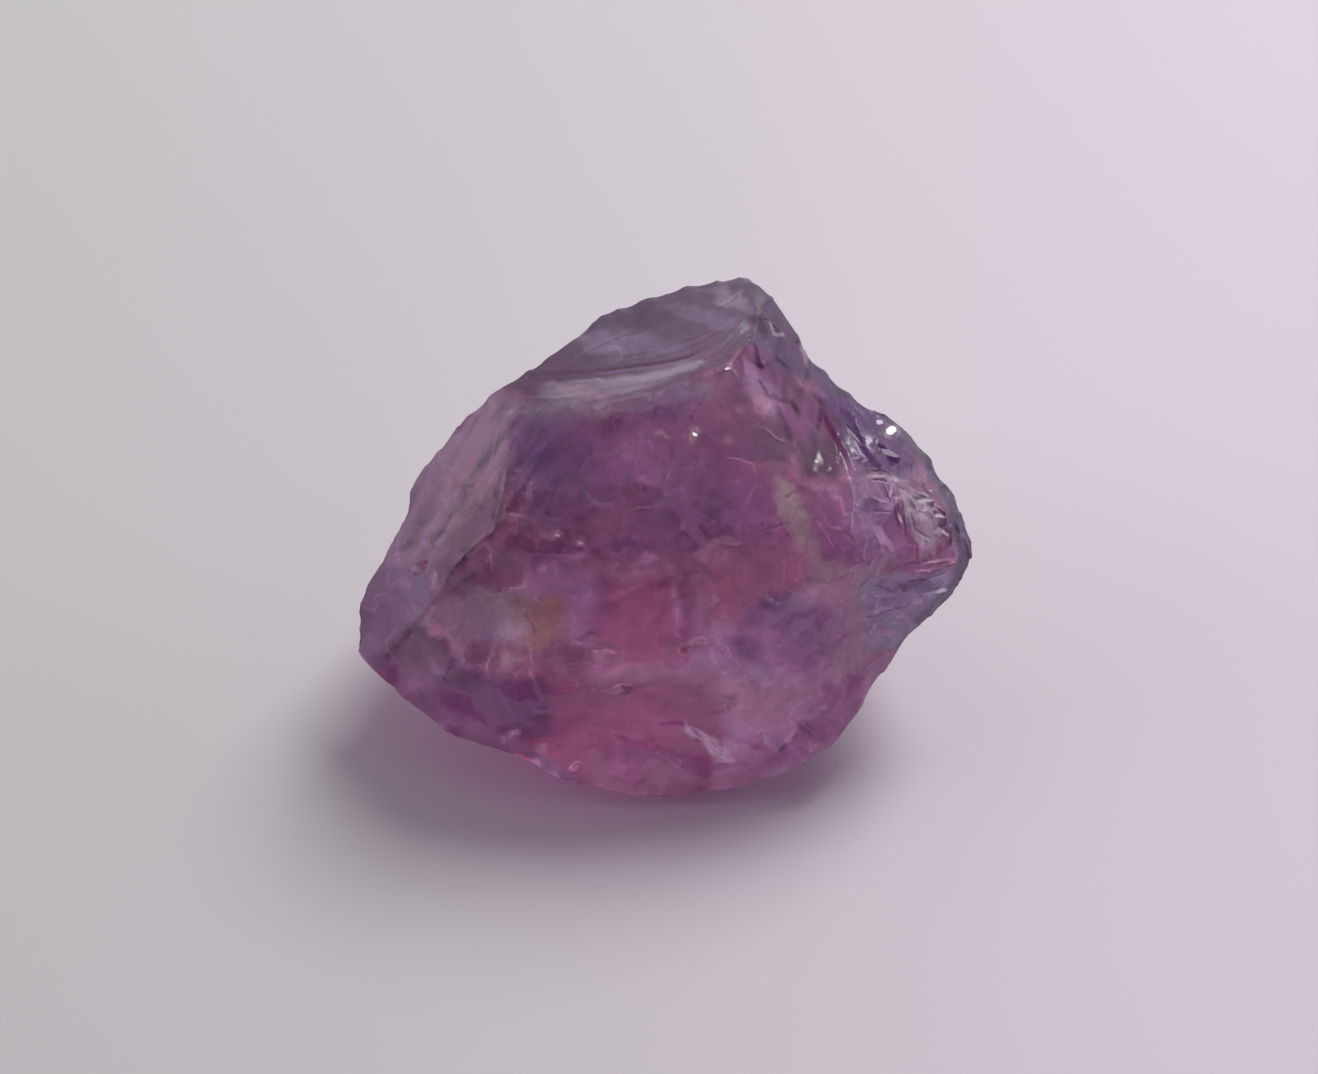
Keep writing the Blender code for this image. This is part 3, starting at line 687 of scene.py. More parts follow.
# Patches of the near side: outline as seen, soft edge in mm, tint, frost
patches = {
    "upper": ([(-3.18, 2.74), (1.62, 3.34), (4.02, 2.14), (4.22, -0.46), (0.82, -0.76), (-3.18, -0.46)],
        0.3, (0.52, 0.26, 0.46), 0.12),
    "lower": ([(-2.78, -0.46), (4.22, -0.46), (4.02, -3.26), (2.82, -4.66), (-0.38, -5.56), (-2.78, -4.46),
        (-3.18, -2.26)], 0.3, (0.93, 0.62, 0.84), 0.12),
    "lowerEdge": ([(-2.78, -2.66), (1.22, -2.66), (1.82, -5.26), (-0.38, -5.86), (-3.18, -4.66)], 0.4,
        (0.35, 0.06, 0.18), 0.12),
    "lowerRight": ([(1.62, -3.06), (4.42, -2.46), (4.22, -3.66), (2.82, -5.06), (1.22, -5.06)], 0.3,
        (0.83, 0.49, 0.75), 0.15),
    "peakSide": ([(1.62, 3.84), (2.02, 5.04), (4.22, 2.74), (4.42, 2.24), (3.22, 2.54)], 0.16,
        (0.1, 0.07, 0.19), 0.2),
    "rightMid": ([(1.42, 3.14), (2.82, 3.04), (4.02, 2.14), (4.26, 1.34), (4.02, -0.16), (2.42, -0.56),
        (1.32, 0.14)], 0.3, (1, 0.4, 0.78), 0.12),
    "underRoof": ([(-2.78, 2.54), (0.82, 3.04), (1.52, 3.24), (1.42, 2.84), (-2.38, 2.1)], 0.08,
        (0.58, 0.54, 0.66), 0.15),
    "roof": ([(-3.08, 2.9), (-1.96, 2.56), (0, 2.9), (1.3, 3.4), (1.9, 4.1), (2.26, 5.2), (1, 5.3),
        (-1.6, 4.4)], 0.05, (0.23, 0.15, 0.29), 0.5),
    "crescent": ([(-2.48, 2.7), (-1.98, 2.98), (-1.32, 3.18), (-0.38, 3.18), (0.42, 3.34), (0.82, 3.44),
        (0.62, 3.22), (0.06, 3.02), (-1.18, 2.76), (-1.98, 2.58)], 0.06, (0.54, 0.59, 0.67), 0.7),
    "flank": ([(-3.3, 2.9), (-2.8, 2.6), (-2.94, 1.94), (-3.24, 1.1), (-3.9, 0.5), (-4.2, -0.5),
        (-5.3, -2.5), (-6.2, -2.4), (-5.4, -0.4), (-4.98, 1)], 0.16, (0.73, 0.63, 0.79), 0.75),
    "leftTip": ([(-5.42, -0.5), (-4.2, -0.5), (-4.46, -1.26), (-5.3, -2.54), (-6.2, -2.4), (-6.08, -1.26)],
        0.15, (0.36, 0.3, 0.47), 0.6),
    "tan": ([(-3.9, 1.34), (-2.88, 1.34), (-2.62, 0.64), (-2.28, 0.54), (-2.38, 0.14), (-3.08, 0.04),
        (-3.78, 0.34)], 0.4, (0.64, 0.35, 0.42), 0.2),
    "dusk": ([(-2.9, 2.3), (-1.78, 2.3), (-0.94, 2.14), (-0.9, 0.74), (-1.48, 0.1), (-2.58, 0.26),
        (-2.94, 1.3)], 0.3, (0.42, 0.22, 0.44), 0.1),
    "veins": ([(2.26, 1.18), (2.66, 1.1), (2.94, 0.34), (3.26, -0.36), (3.74, -0.7), (3.34, -0.9),
        (2.74, -0.38), (2.42, 0.5)], 0.14, (1, 0.92, 0.77), 0.35),
    "rose": ([(0.92, -0.3), (2.94, -0.26), (2.82, -1.26), (1.72, -1.82), (0.92, -1.5)], 0.25,
        (1, 0.4, 0.58), 0.35),
    "violet": ([(1.66, -1.34), (2.82, -1.14), (3.74, -1.5), (3.86, -2.3), (3.38, -2.94), (2.38, -3.1),
        (1.42, -2.18)], 0.12, (0.82, 0.49, 0.79), 0.12),
    "grey": ([(-4.68, -1.74), (-4.18, -1.3), (-3.42, -1.04), (-2.58, -1.02), (-2.22, -1.46), (-2.48, -2.16),
        (-3.18, -2.62), (-4.18, -2.7), (-4.62, -2.36)], 0.16, (0.66, 0.65, 0.67), 0.3),
    "amber": ([(-2.74, -1.5), (-2.22, -1.14), (-1.94, -1.06), (-1.74, -1.5), (-1.86, -1.94), (-2.22, -2.26),
        (-2.58, -2.5), (-2.78, -2.06), (-2.5, -1.78)], 0.24, (0.68, 0.45, 0.25), 0.2),
    "deep": ([(-5.34, -2.62), (-3.78, -2.58), (-2.28, -2.66), (-2.06, -3.36), (-2.18, -4.02), (-3.28, -4.1),
        (-4.38, -3.7)], 0.16, (0.13, 0.04, 0.14), 0.1),
    "tipMid": ([(3.82, 1.44), (4.72, 1.14), (4.92, -0.46), (4.02, -0.76), (3.72, 0.34)], 0.15,
        (0.87, 0.58, 0.94), 0.16),
    "tipLow": ([(3.92, -0.86), (4.82, -0.7), (5.72, -0.76), (5.52, -1.46), (4.72, -2.16), (4.06, -2.26)],
        0.1, (0.66, 0.79, 1), 0.3),
    "shoulder": ([(3.06, 2.82), (3.82, 2.78), (4.52, 2.58), (5.12, 1.74), (4.92, 1.14), (4.22, 1.26),
        (3.58, 1.5), (3.18, 2.14)], 0.16, (0.15, 0.04, 0.31), 0.25),
    "tipPink": ([(4.76, 0.98), (5.26, 0.78), (5.7, 0.42), (5.74, 0.06), (5.38, -0.14), (4.98, 0.06)], 0.06,
        (0.91, 0.98, 1), 0.6),
    # painted shade along the tip's outline
    "rim": ([(4.52, 2.58), (5.42, 1.82), (6.32, 0.44), (6.32, -0.66), (5.32, -1.9), (5.02, -1.56),
        (5.72, -0.96), (5.92, -0.22), (5.7, 0.54), (5.12, 1.38)], 0.08, (0.14, 0.17, 0.27), 0.3),
    "seam": ([(-3.78, -2.06), (-3.18, -1.98), (-1.98, -2.02), (-1.22, -2.16), (-1.38, -2.76),
        (-1.98, -2.86), (-3.18, -2.7), (-3.82, -2.5)], 0.14, (0.35, 0.17, 0.23), 0.12),
    "seamLeft": ([(-4.46, -0.58), (-4.18, 0.04), (-3.54, 0.74), (-3.14, 1.1), (-2.98, 0.74), (-3.18, 0.18),
        (-3.78, -0.38), (-4.22, -0.96)], 0.14, (0.13, 0.02, 0.1), 0.35),
    "saddle": ([(1.66, 3.74), (2.18, 3.7), (2.82, 2.98), (3.46, 2.34), (3.74, 1.64), (3.54, 1.1),
        (2.94, 1.18), (2.54, 1.94), (2.06, 2.74)], 0.14, (0.17, 0.01, 0.13), 0.12),
    "leftFoot": ([(-5.42, -2.3), (-4.94, -1.7), (-4.38, -1.82), (-3.94, -2.46), (-4.08, -2.7),
        (-5.14, -2.94)], 0.12, (0.15, 0.08, 0.17), 0.15),
    "underPeak": ([(1.06, 3.1), (1.72, 3.42), (2.26, 2.9), (2.62, 1.84), (2.42, 1.24), (1.72, 1.54),
        (1.26, 2.24)], 0.16, (0.6, 0.39, 0.59), 0.12),
    "lowMid": ([(-1.38, -4.22), (0.42, -4.14), (0.86, -4.86), (-0.18, -5.26), (-1.48, -5.02)], 0.14,
        (0.34, 0.13, 0.24), 0.12),
    "lowPale": ([(1.18, -4.38), (1.98, -3.98), (2.34, -4.5), (1.78, -5.02), (1.1, -4.94)], 0.12,
        (0.66, 0.25, 0.45), 0.12),
    "core": ([(-1.18, -0.76), (0.62, -0.66), (0.92, -2.06), (0.42, -2.56), (-1.18, -2.56), (-1.48, -1.66)],
        0.25, (0.53, 0.19, 0.37), 0.12),
    "edgeLeft": ([(-5.58, -2.3), (-5.18, -3.16), (-4.18, -4.06), (-2.88, -4.66), (-1.68, -5.26),
        (-1.18, -5.06), (-1.98, -4.56), (-3.08, -3.96), (-4.18, -3.36), (-4.98, -2.56)], 0.12,
        (0.23, 0.12, 0.25), 0.15),
    "lip": ([(-2.88, -4.3), (-1.98, -4.96), (-0.38, -5.22), (1.22, -5.16), (2.62, -4.76), (2.22, -5.26),
        (0.42, -5.7), (-1.38, -5.5), (-3.08, -4.62)], 0.08, (1, 0.01, 0.18), 0.35),
}

# Small marks of the near side: across, up, half width, half height in mm, slant, tint, frost
marks = [
    # dark spots
   (2.3, -1.28, 0.3, 0.22, 0, (0.42, 0.24, 0.5), 0.1), (1.58, -2.26, 0.4, 0.28, 20, (0.42, 0.22, 0.5), 0.1),
    (0.18, 2.44, 0.44, 0.14, 0, (0.34, 0.2, 0.38), 0.1),
    (-0.66, -3.1, 0.18, 0.08, 0, (0.35, 0.15, 0.3), 0.1),
    (1.36, -3.2, 0.16, 0.08, 0, (0.4, 0.22, 0.34), 0.1),
    (1.44, -3.38, 0.12, 0.06, 0, (0.4, 0.22, 0.34), 0.1),
    (0.54, -1.5, 0.12, 0.32, 0, (0.4, 0.2, 0.36), 0.1),
    (-1.38, -1.94, 0.28, 0.06, 10, (0.35, 0.16, 0.3), 0.1),
    (-0.96, -2.14, 0.24, 0.06, -12, (0.35, 0.16, 0.3), 0.1),
    (2.92, -3.74, 0.18, 0.08, -35, (0.45, 0.24, 0.42), 0.1),
    (2.4, -4.14, 0.08, 0.12, 0, (0.45, 0.24, 0.42), 0.1),
    (2.22, 0.1, 0.2, 0.06, -20, (0.4, 0.22, 0.34), 0.1),
    (-2.28, 1.64, 0.28, 0.24, 0, (0.36, 0.22, 0.5), 0.1),
    (-1.18, -0.16, 0.8, 0.12, 5, (0.36, 0.18, 0.4), 0.1),
    (-3.78, -0.96, 0.28, 0.2, 35, (0.42, 0.28, 0.46), 0.2),
    (5.12, -0.96, 0.44, 0.1, 0, (0.2, 0.2, 0.36), 0.1),
    (3.82, 2.02, 0.2, 0.08, -55, (0.25, 0.22, 0.36), 0.1),
    # pale bruises and specks; among the specks are painted glints and painted inner reflections
   # painted glints, on this line and the next
   (0.04, 2.08, 0.12, 0.06, 25, (1, 0.8, 0.7), 0.25), (0.18, 2, 0.08, 0.04, 0, (1, 0.8, 0.7), 0.25),
    (0.7, 2.02, 0.1, 0.14, 20, (1, 0.85, 0.8), 0.25), (1.4, 1.94, 0.1, 0.1, 0, (1, 0.75, 0.85), 0.2),
    # the second: a painted glint
    (1.1, -1.22, 0.1, 0.1, 0, (1, 0.7, 0.78), 0.2), (2.02, 2.6, 0.18, 0.18, 0, (0.95, 0.5, 0.65), 0.3),
    # painted inner reflections, red and pink
    (0.5, -2.26, 0.1, 0.18, 15, (1, 0.3, 0.36), 0.6), (0.8, -2.06, 0.18, 0.08, 0, (1, 0.72, 0.78), 0.6),
    # the first a painted inner reflection, the second a faint painted glint
    (-1.66, -4.52, 0.1, 0.06, 15, (1, 0.6, 0.75), 0.3), (-2.32, -4.2, 0.08, 0.06, 0, (0.8, 0.5, 0.6), 0.2),
    (-2.9, -3.88, 0.16, 0.08, 20, (0.5, 0.38, 0.5), 0.3), (-3.08, -4, 0.08, 0.06, 0, (0.5, 0.38, 0.5), 0.3),
    (0.76, -3.88, 0.26, 0.1, -40, (1, 0.97, 0.96), 1), (1.2, -4.22, 0.34, 0.14, -42, (1, 1, 1), 1),
    # the first: a painted glint on the flank
    (-4.72, -0.6, 0.16, 0.1, 40, (1, 1, 1), 1), (-2.54, 0.98, 0.06, 0.18, 25, (0.75, 0.5, 0.7), 0.2),
    # painted glints
    (-2, 0.04, 0.1, 0.08, 0, (1, 0.85, 0.9), 0.25), (-1.54, -0.1, 0.12, 0.1, 0, (1, 0.8, 0.88), 0.25),
    (-4.42, -1.86, 0.16, 0.16, 30, (0.7, 0.46, 0.62), 0.25),
    (1.32, -0.1, 0.34, 0.08, 3, (0.85, 0.6, 0.75), 0.35), (2.12, -4, 0.08, 0.08, 0, (1, 0.8, 0.9), 0.3),
    # painted glints at the tip
    (4.58, 2.1, 0.16, 0.1, -30, (1, 1, 1), 0.2), (4.46, -1.88, 0.18, 0.08, 0, (1, 0.8, 0.95), 0.3),
    (-4.44, -0.86, 0.04, 0.16, 10, (0.7, 0.6, 0.75), 0.5),
    (-2.06, -1.34, 0.14, 0.18, 20, (0.62, 0.44, 0.2), 0.2),
    (-2.38, -2.06, 0.2, 0.12, -30, (0.6, 0.44, 0.24), 0.2),
    (-2.7, -1.26, 0.18, 0.1, 10, (0.56, 0.42, 0.3), 0.25),
    # the last: a painted glint under the roof
    (-2.94, -2.36, 0.16, 0.1, -10, (0.52, 0.42, 0.34), 0.25), (1.36, 3.34, 0.12, 0.08, 30, (1, 1, 1), 0.3),
    (-3.34, 2.66, 0.12, 0.1, 0, (1, 0.95, 1), 0.9), (1.66, -3.38, 0.24, 0.1, 0, (0.85, 0.55, 0.75), 0.3),
    (0.34, -1.34, 0.08, 0.64, 0, (0.75, 0.42, 0.62), 0.15),
    (0.92, -1.34, 0.08, 0.64, 4, (0.75, 0.42, 0.62), 0.15),
    (2.86, 3.6, 0.16, 0.06, -50, (0.95, 0.95, 1), 0.7), (2.28, 4.08, 0.2, 0.04, -45, (1, 1, 1), 0.8),
    (-1.18, 3.84, 0.52, 0.2, -15, (0.62, 0.56, 0.76), 0.5),
    (1.42, 4.7, 0.4, 0.16, -20, (0.7, 0.6, 0.78), 0.5), (-1.68, 2.88, 0.6, 0.12, -8, (1, 1, 1), 0.7),
    (4.06, 0.74, 0.06, 0.44, 15, (1, 0.85, 1), 0.3), (4.22, 1.18, 0.28, 0.06, 10, (1, 0.85, 1), 0.3),
    (4.52, 1.18, 0.36, 0.06, -20, (1, 0.9, 1), 0.3), (4.18, 0.64, 0.2, 0.12, 0, (0.5, 0.34, 0.62), 0.1),
    (-0.88, -3.02, 0.2, 0.06, -5, (0.95, 0.5, 0.7), 0.3),
    (-1.08, -2.26, 0.32, 0.04, -4, (0.9, 0.5, 0.66), 0.2),
    (1.62, -2.62, 0.68, 0.18, -50, (0.7, 0.42, 0.62), 0.15),
    (-2.2, -4.7, 0.6, 0.1, -35, (0.85, 0.6, 0.85), 0.4),
    (-0.38, 3.84, 0.8, 0.2, -12, (0.4, 0.36, 0.55), 0.5),
    (0.82, 4.38, 0.68, 0.14, -14, (0.42, 0.38, 0.56), 0.5),
]


def streakLines():
    # noise drawn out along the flank
    noise.seed_set(tints["streakSeed"])
    across = skinSeen @ np.array(tints["streakAcross"])
    along = skinSeen @ np.array(tints["streakAlong"])
    lines = np.zeros(len(skinSeen))
    for fast, slow, layer, share in tints["streakWaves"]:
        places = [Vector((fast * a, slow * b, layer)) for a, b in zip(across, along)]
        lines += share * np.array([noise.noise(place) for place in places])
    return lines * inReach(*tints["streaks"])


def paintedRippleShading():
    # painted light and shade of the roof's ripples and of finer ones between them
    share, count = tints["fineRipples"]
    phase = ripplePhase()
    fine = count * phase + overNoise(*tints["fineDrift"])
    ripples = np.sin(2.0 * math.pi * phase) + share * np.sin(2.0 * math.pi * fine)
    return tints["ripples"] * ripples * rippleStrength(phase) * roofShare()


def lay(tint, frost, share, newTint, newFrost):
    # blends a tint and a frost in by their share
    tint += (newTint - tint) * share[:, None]
    frost += (newFrost - frost) * share


def paintSkin(mesh):
    # two attributes: the tint of the clear crystal and how frosted it is
    waves = [overNoise(*wave) for wave in tints["cloudWaves"]]
    clouds = 1.0 + tints["clouds"] * sum(waves)[:, None]
    near, left, right = (np.array(tints[name]) for name in ("body", "farLeft", "farRight"))
    far = left + (right - left) * smoothStep(*tints["farSpan"], skinPlaces[:, 0])[:, None]
    clear = clearShare()
    tint = (far + (near - far) * clear[:, None]) * clouds
    nearFrost, farFrost = tints["frost"]
    frost = farFrost + (nearFrost - farFrost) * clear + overNoise(*tints["frostWave"])
    spots = skinSeen.copy()
    for axis, name in enumerate(("warpAcross", "warpUp")):
        for wave in tints[name]:
            spots[:, axis] += overNoise(*wave)
    for outline, soft, patchTint, patchFrost in patches.values():
        share = smoothStep(-soft, soft, insideOf(outline, spots)) * skinFront
        lay(tint, frost, share, np.array(patchTint) * clouds, patchFrost)
    spots = skinSeen + overNoises(2, *tints["markWarp"])
    for across, up, wide, high, slant, markTint, markFrost in marks:
        share = smoothStep(*tints["markEdge"], acrossEllipse(spots, across, up, wide, high, slant))
        lay(tint, frost, share * skinFront, np.array(markTint), markFrost)
    # painted shade along the outline
    front = smoothStep(*tints["rimFront"], skinNormals @ sightLine)
    for points, half, outlineShadeTint, rimFrost in shadedOutlines:
        gap, _ = alongLine(points, spots)
        share = smoothStep(*tints["markEdge"], np.abs(gap) / half)
        lay(tint, frost, share * front, np.array(outlineShadeTint), rimFrost)
    streaks = streakLines()
    # painted light and shade of the single lines and of the roof's ripples
    lineShading = paintedLineShading()
    tone = streaks + paintedRippleShading() + lineLook["contrast"] * lineShading
    tint *= 1.0 + tone[:, None]
    tint /= np.maximum(tint.max(axis=1), 1.0)[:, None]
    frost += lineLook["frost"] * np.maximum(lineShading, 0.0)
    frost += tints["streakFrost"] * streaks
    frost += (glintFrost - frost) * skinGlint
    colors = np.concatenate((np.clip(tint, 0.0, 1.0), np.ones((len(tint), 1))), axis=1)
    tintLayer = mesh.attributes.new("tint", "FLOAT_COLOR", "POINT")
    tintLayer.data.foreach_set("color", colors.astype(np.float32).ravel())
    frostLayer = mesh.attributes.new("frost", "FLOAT", "POINT")
    frostLayer.data.foreach_set("value", frost.astype(np.float32))


def dropFolds(mesh):
    # turned diagonals leave little folds that hang on the skin by one edge; they go
    bm = bmesh.new()
    bm.from_mesh(mesh)
    left = set(bm.faces)
    parts = []
    while left:
        part = [left.pop()]
        for face in part:
            for edge in face.edges:
                if len(edge.link_faces) == 2:
                    for other in edge.link_faces:
                        if other in left:
                            left.remove(other)
                            part.append(other)
        parts.append(part)
    parts.sort(key=len)
    folds = [face for part in parts[:-1] for face in part]
    bmesh.ops.delete(bm, geom=folds, context="FACES")
    print("folds dropped:", len(folds), "faces")
    bm.to_mesh(mesh)
    bm.free()


def addObject(name, data):
    thing = bpy.data.objects.new(name, data)
    bpy.context.scene.collection.objects.link(thing)
    return thing


def addMesh(name, bm):
    mesh = bpy.data.meshes.new(name)
    bm.to_mesh(mesh)
    bm.free()
    return addObject(name, mesh)


def finishSkin(bm):
    bm.transform(Matrix.Scale(mm, 4))
    for face in bm.faces:
        face.smooth = True
        face.material_index = 0
    piece = addMesh("spinelSkin", bm)
    piece.data.set_sharp_from_angle(angle=skinLook["sharpFrom"])
    paintSkin(piece.data)
    dropFolds(piece.data)
    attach(piece, "root")
    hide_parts("rough_spinel")
    return piece


stone = finishSkin(skin)
print("skin painted")

# The crystal: clear purple glass tinted by its skin, cloudier where it is frosted
crystal = {
    "ior": 1.718,
    "transmission": 0.82,
    "absorb": (0.52, 0.0, 0.355, 1.0),
    "density": 72.0,
    "roughness": (0.16, 0.62),  # clear and frosted
    "mottle": 3200.0,  # cycles of the fine colour mottle over a metre
    "mottleTones": ((0.36, (0.52, 0.46, 0.54, 1.0)), (0.64, (1.0, 1.0, 1.0, 1.0))),
    "drift": 620.0,  # of the drift from reddish to bluish
    "driftTones": ((0.38, (1.0, 0.84, 0.84, 1.0)), (0.62, (0.84, 0.9, 1.0, 1.0))),
    "crease": 700.0,  # of the pale creases
    "creaseWidth": 0.02,
    "creasePale": 0.9,
    "creaseBroken": (0.48, 0.62),  # the mottle where they are missing and where they are whole
    "creaseTint": (1.8, 1.75, 1.8, 1.0),
    "underFrost": 0.25,  # how much of these is left where it is frosted
    "grain": 9000.0,  # of the fine grain
    "grainSpan": (0.3, 0.7),
    "grainFrost": (-0.05, 0.05),  # what it adds to the frost over that span
    "bump": 0.000002,
}


def addNode(tree, kind, *inputs, **values):
    # inputs in order, settings and inputs by name; what another node puts out is linked
    node = tree.nodes.new(kind)
    for name in [name for name in values if hasattr(node, name)]:
        setattr(node, name, values.pop(name))
    filled = list(zip(node.inputs, inputs)) + [(node.inputs[name], value) for name, value in values.items()]
    for socket, value in filled:
        if isinstance(value, bpy.types.NodeSocket):
            tree.links.new(value, socket)
        else:
            socket.default_value = value
    return node


def noiseOf(tree, where, scale, detail, **values):
    node = addNode(tree, "ShaderNodeTexNoise", Vector=where, Scale=scale, Detail=detail, **values)
    return node.outputs["Fac"]


def rampOf(tree, value, tones):
    node = addNode(tree, "ShaderNodeValToRGB", Fac=value)
    for element, (position, color) in zip(node.color_ramp.elements, tones):
        element.position = position
        element.color = color
    return node.outputs["Color"]


def remap(tree, value, span, onto=(0.0, 1.0), kind="LINEAR"):
    node = addNode(tree, "ShaderNodeMapRange", Value=value, interpolation_type=kind)
    for name, end in zip(("From Min", "From Max", "To Min", "To Max"), (*span, *onto)):
        node.inputs[name].default_value = end
    return node.outputs["Result"]


def blend(tree, share, a, b, kind="MIX", clamp=False):
    looks = {"data_type": "RGBA", "blend_type": kind, "clamp_result": clamp}
    return addNode(tree, "ShaderNodeMix", Factor=share, A=a, B=b, **looks).outputs["Result"]


def compute(tree, operation, *inputs, clamp=False):
    return addNode(tree, "ShaderNodeMath", *inputs, operation=operation, use_clamp=clamp).outputs["Value"]


def addMaterial(name, piece):
    material = bpy.data.materials.new(name)
    material.use_nodes = True
    piece.data.materials.append(material)
    return material.node_tree, material.node_tree.nodes["Principled BSDF"]


def makeCrystal():
    tree, shader = addMaterial("clearSpinel", stone)
    link = tree.links.new
    shader.inputs["IOR"].default_value = crystal["ior"]
    shader.inputs["Transmission Weight"].default_value = crystal["transmission"]
    where = addNode(tree, "ShaderNodeTexCoord").outputs["Object"]
    tint = addNode(tree, "ShaderNodeAttribute", attribute_name="tint").outputs["Color"]
    frost = addNode(tree, "ShaderNodeAttribute", attribute_name="frost").outputs["Fac"]

    # inner mottle, drift of hue and pale creases, all fainter under frost
    clearness = remap(tree, frost, (0.0, 1.0), (1.0, crystal["underFrost"]))
    mottle = noiseOf(tree, where, crystal["mottle"], 4.0, Roughness=0.7, Distortion=0.5)
    color = blend(tree, clearness, tint, rampOf(tree, mottle, crystal["mottleTones"]), "MULTIPLY")
    drift = noiseOf(tree, where, crystal["drift"], 3.0)
    color = blend(tree, clearness, color, rampOf(tree, drift, crystal["driftTones"]), "MULTIPLY")
    crease = noiseOf(tree, where, crystal["crease"], 2.5, Distortion=0.8)
    height = compute(tree, "ABSOLUTE", compute(tree, "SUBTRACT", crease, 0.5))
    creased = remap(tree, height, (crystal["creaseWidth"], 0.0), kind="SMOOTHSTEP")
    whole = remap(tree, mottle, crystal["creaseBroken"], (0.0, crystal["creasePale"]), "SMOOTHSTEP")
    pale = compute(tree, "MULTIPLY", creased, whole)
    color = blend(tree, pale, color, crystal["creaseTint"], "MULTIPLY", True)
    link(color, shader.inputs["Base Color"])

    # how rough and bumpy the frost is
    grain = noiseOf(tree, where, crystal["grain"], 3.0, Roughness=0.65)
    uneven = remap(tree, grain, crystal["grainSpan"], crystal["grainFrost"])
    frosted = compute(tree, "ADD", frost, uneven, clamp=True)
    link(remap(tree, frosted, (0.0, 1.0), crystal["roughness"]), shader.inputs["Roughness"])
    bump = addNode(tree, "ShaderNodeBump", Distance=crystal["bump"], Strength=frosted, Height=grain)
    link(bump.outputs["Normal"], shader.inputs["Normal"])

    inside = addNode(tree, "ShaderNodeVolumeAbsorption", crystal["absorb"], crystal["density"])
    link(inside.outputs["Volume"], tree.nodes["Material Output"].inputs["Volume"])


makeCrystal()
print("crystal made")

# The table, with painted light: a little paler to the right, where more light falls
tableLook = {
    "size": 0.6,
    "gap": 0.00002,
    "left": (0.58, 0.595, 0.58, 1.0),
    "right": (0.69, 0.65, 0.69, 1.0),
    "reach": 0.014,  # how far out both tones are reached
    "roughness": 0.55,
}


def makeFloor():
    bm = bmesh.new()
    bmesh.ops.create_grid(bm, x_segments=1, y_segments=1, size=tableLook["size"] / 2.0)
    bmesh.ops.translate(bm, verts=bm.verts, vec=(0.0, 0.0, -tableLook["gap"]))
    floor = addMesh("table", bm)
    tree, shader = addMaterial("paleTable", floor)
    where = addNode(tree, "ShaderNodeTexCoord").outputs["Object"]
    across = addNode(tree, "ShaderNodeSeparateXYZ", where).outputs["X"]
    reach = tableLook["reach"]
    share = remap(tree, across, (-reach, reach), kind="SMOOTHSTEP")
    tone = blend(tree, share, tableLook["left"], tableLook["right"])
    tree.links.new(tone, shader.inputs["Base Color"])
    shader.inputs["Roughness"].default_value = tableLook["roughness"]


makeFloor()
print("table laid")

# The light: a pale room that is brighter overhead and behind, and one soft lamp
lights = {
    "roomFront": (0.115, 0.06, 0.12, 1.0),
    "roomBack": (0.52, 0.50, 0.52, 1.0),
    "roomSpan": (-0.5, 0.75),  # how far to the back each is reached
    "glows": [  # direction, colour, cosine of its reach
        ((-0.95, 0.1, 0.18), (1.15, 0.92, 1.16, 1.0), 0.78),
        ((0.92, 0.3, 0.08), (0.95, 0.55, 0.95, 1.0), 0.8),
    ],
    "lampPlace": (82.0, 127.0, 146.0),  # mm
    "lamp": {"soft": (90.0, 0.38), "mirrored": (16.0, 0.048), "through": (260.0, 0.5)},  # size in mm, power
    # what the stone passes on to the table in front of it
    "passedPlace": (-1.6, 0.2, 60.0),  # mm
    "passedReach": 5.6,  # mm on the table
    "passedSize": 1.0,
    "passedBlend": 0.35,
    "passedColor": (1.0, 0.02, 0.8),
    "passedPower": 0.0046,
}


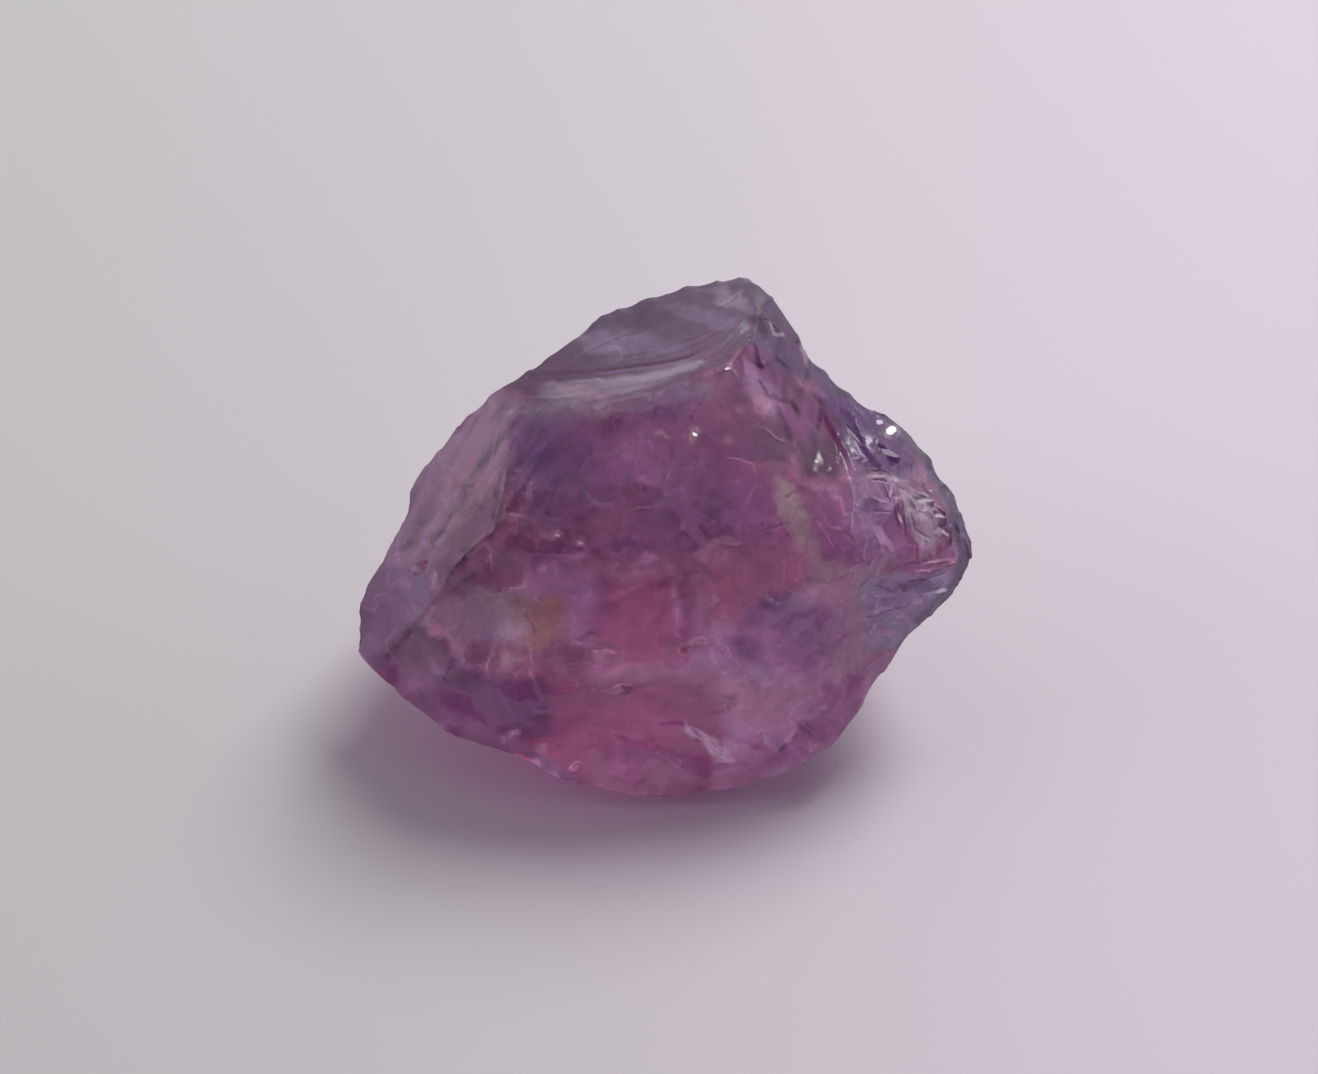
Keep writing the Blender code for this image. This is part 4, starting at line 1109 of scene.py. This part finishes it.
def makeRoom():
    world = bpy.data.worlds.new("room")
    bpy.context.scene.world = world
    world.use_nodes = True
    tree = world.node_tree
    where = addNode(tree, "ShaderNodeTexCoord").outputs["Generated"]
    back = addNode(tree, "ShaderNodeSeparateXYZ", where).outputs["Y"]
    share = remap(tree, back, lights["roomSpan"])
    color = blend(tree, share, lights["roomFront"], lights["roomBack"])
    for toward, tint, narrow in lights["glows"]:
        toward = Vector(toward).normalized()
        facing = addNode(tree, "ShaderNodeVectorMath", where, toward, operation="DOT_PRODUCT")
        near = remap(tree, facing.outputs["Value"], (narrow, 1.0), kind="SMOOTHSTEP")
        color = blend(tree, near, color, tint, "ADD")
    tree.links.new(color, tree.nodes["Background"].inputs["Color"])


def makeLamp():
    # one lamp in three sizes: for what it lights, its mirror images and what shines through the stone
    for kind, (size, power) in lights["lamp"].items():
        light = bpy.data.lights.new("lamp" + kind.capitalize(), "AREA")
        light.size = size * mm
        light.energy = power
        lamp = addObject(light.name, light)
        lamp.location = Vector(lights["lampPlace"]) * mm
        lamp.rotation_euler = lamp.location.to_track_quat("Z", "Y").to_euler()
        lamp.visible_diffuse = kind == "soft"
        lamp.visible_glossy = kind == "mirrored"
        lamp.visible_transmission = kind == "through"
        lamp.visible_camera = False


def makePassedLight():
    # reaches the table only
    light = bpy.data.lights.new("passedLight", "SPOT")
    light.color = lights["passedColor"]
    light.energy = lights["passedPower"]
    light.spot_size = 2.0 * math.atan(lights["passedReach"] / lights["passedPlace"][2])
    light.spot_blend = lights["passedBlend"]
    light.shadow_soft_size = lights["passedSize"] * mm
    spot = addObject("passedLight", light)
    spot.location = Vector(lights["passedPlace"]) * mm
    reached = bpy.data.collections.new("reached")
    reached.objects.link(bpy.data.objects["table"])
    spot.light_linking.receiver_collection = reached
    spot.light_linking.blocker_collection = reached


makeRoom()
makeLamp()
makePassedLight()
print("light set")


def makeCamera():
    lens = bpy.data.cameras.new("camera")
    camera = addObject("camera", lens)
    middle = Vector((*sight["middle"], 0.0))
    back = Vector(sightLine) * sight["distance"]
    camera.location = (middle + back) * mm
    camera.rotation_euler = back.to_track_quat("Z", "Y").to_euler()
    lens.lens = lens.sensor_width * sight["distance"] / sight["frameWidth"]
    lens.clip_start = mm
    bpy.context.scene.camera = camera


makeCamera()
bpy.context.scene.view_settings.view_transform = "Standard"
cycles = bpy.context.scene.cycles
cycles.max_bounces = cycles.transmission_bounces = 24  # light meets many faces inside the stone
cycles.glossy_bounces = 16
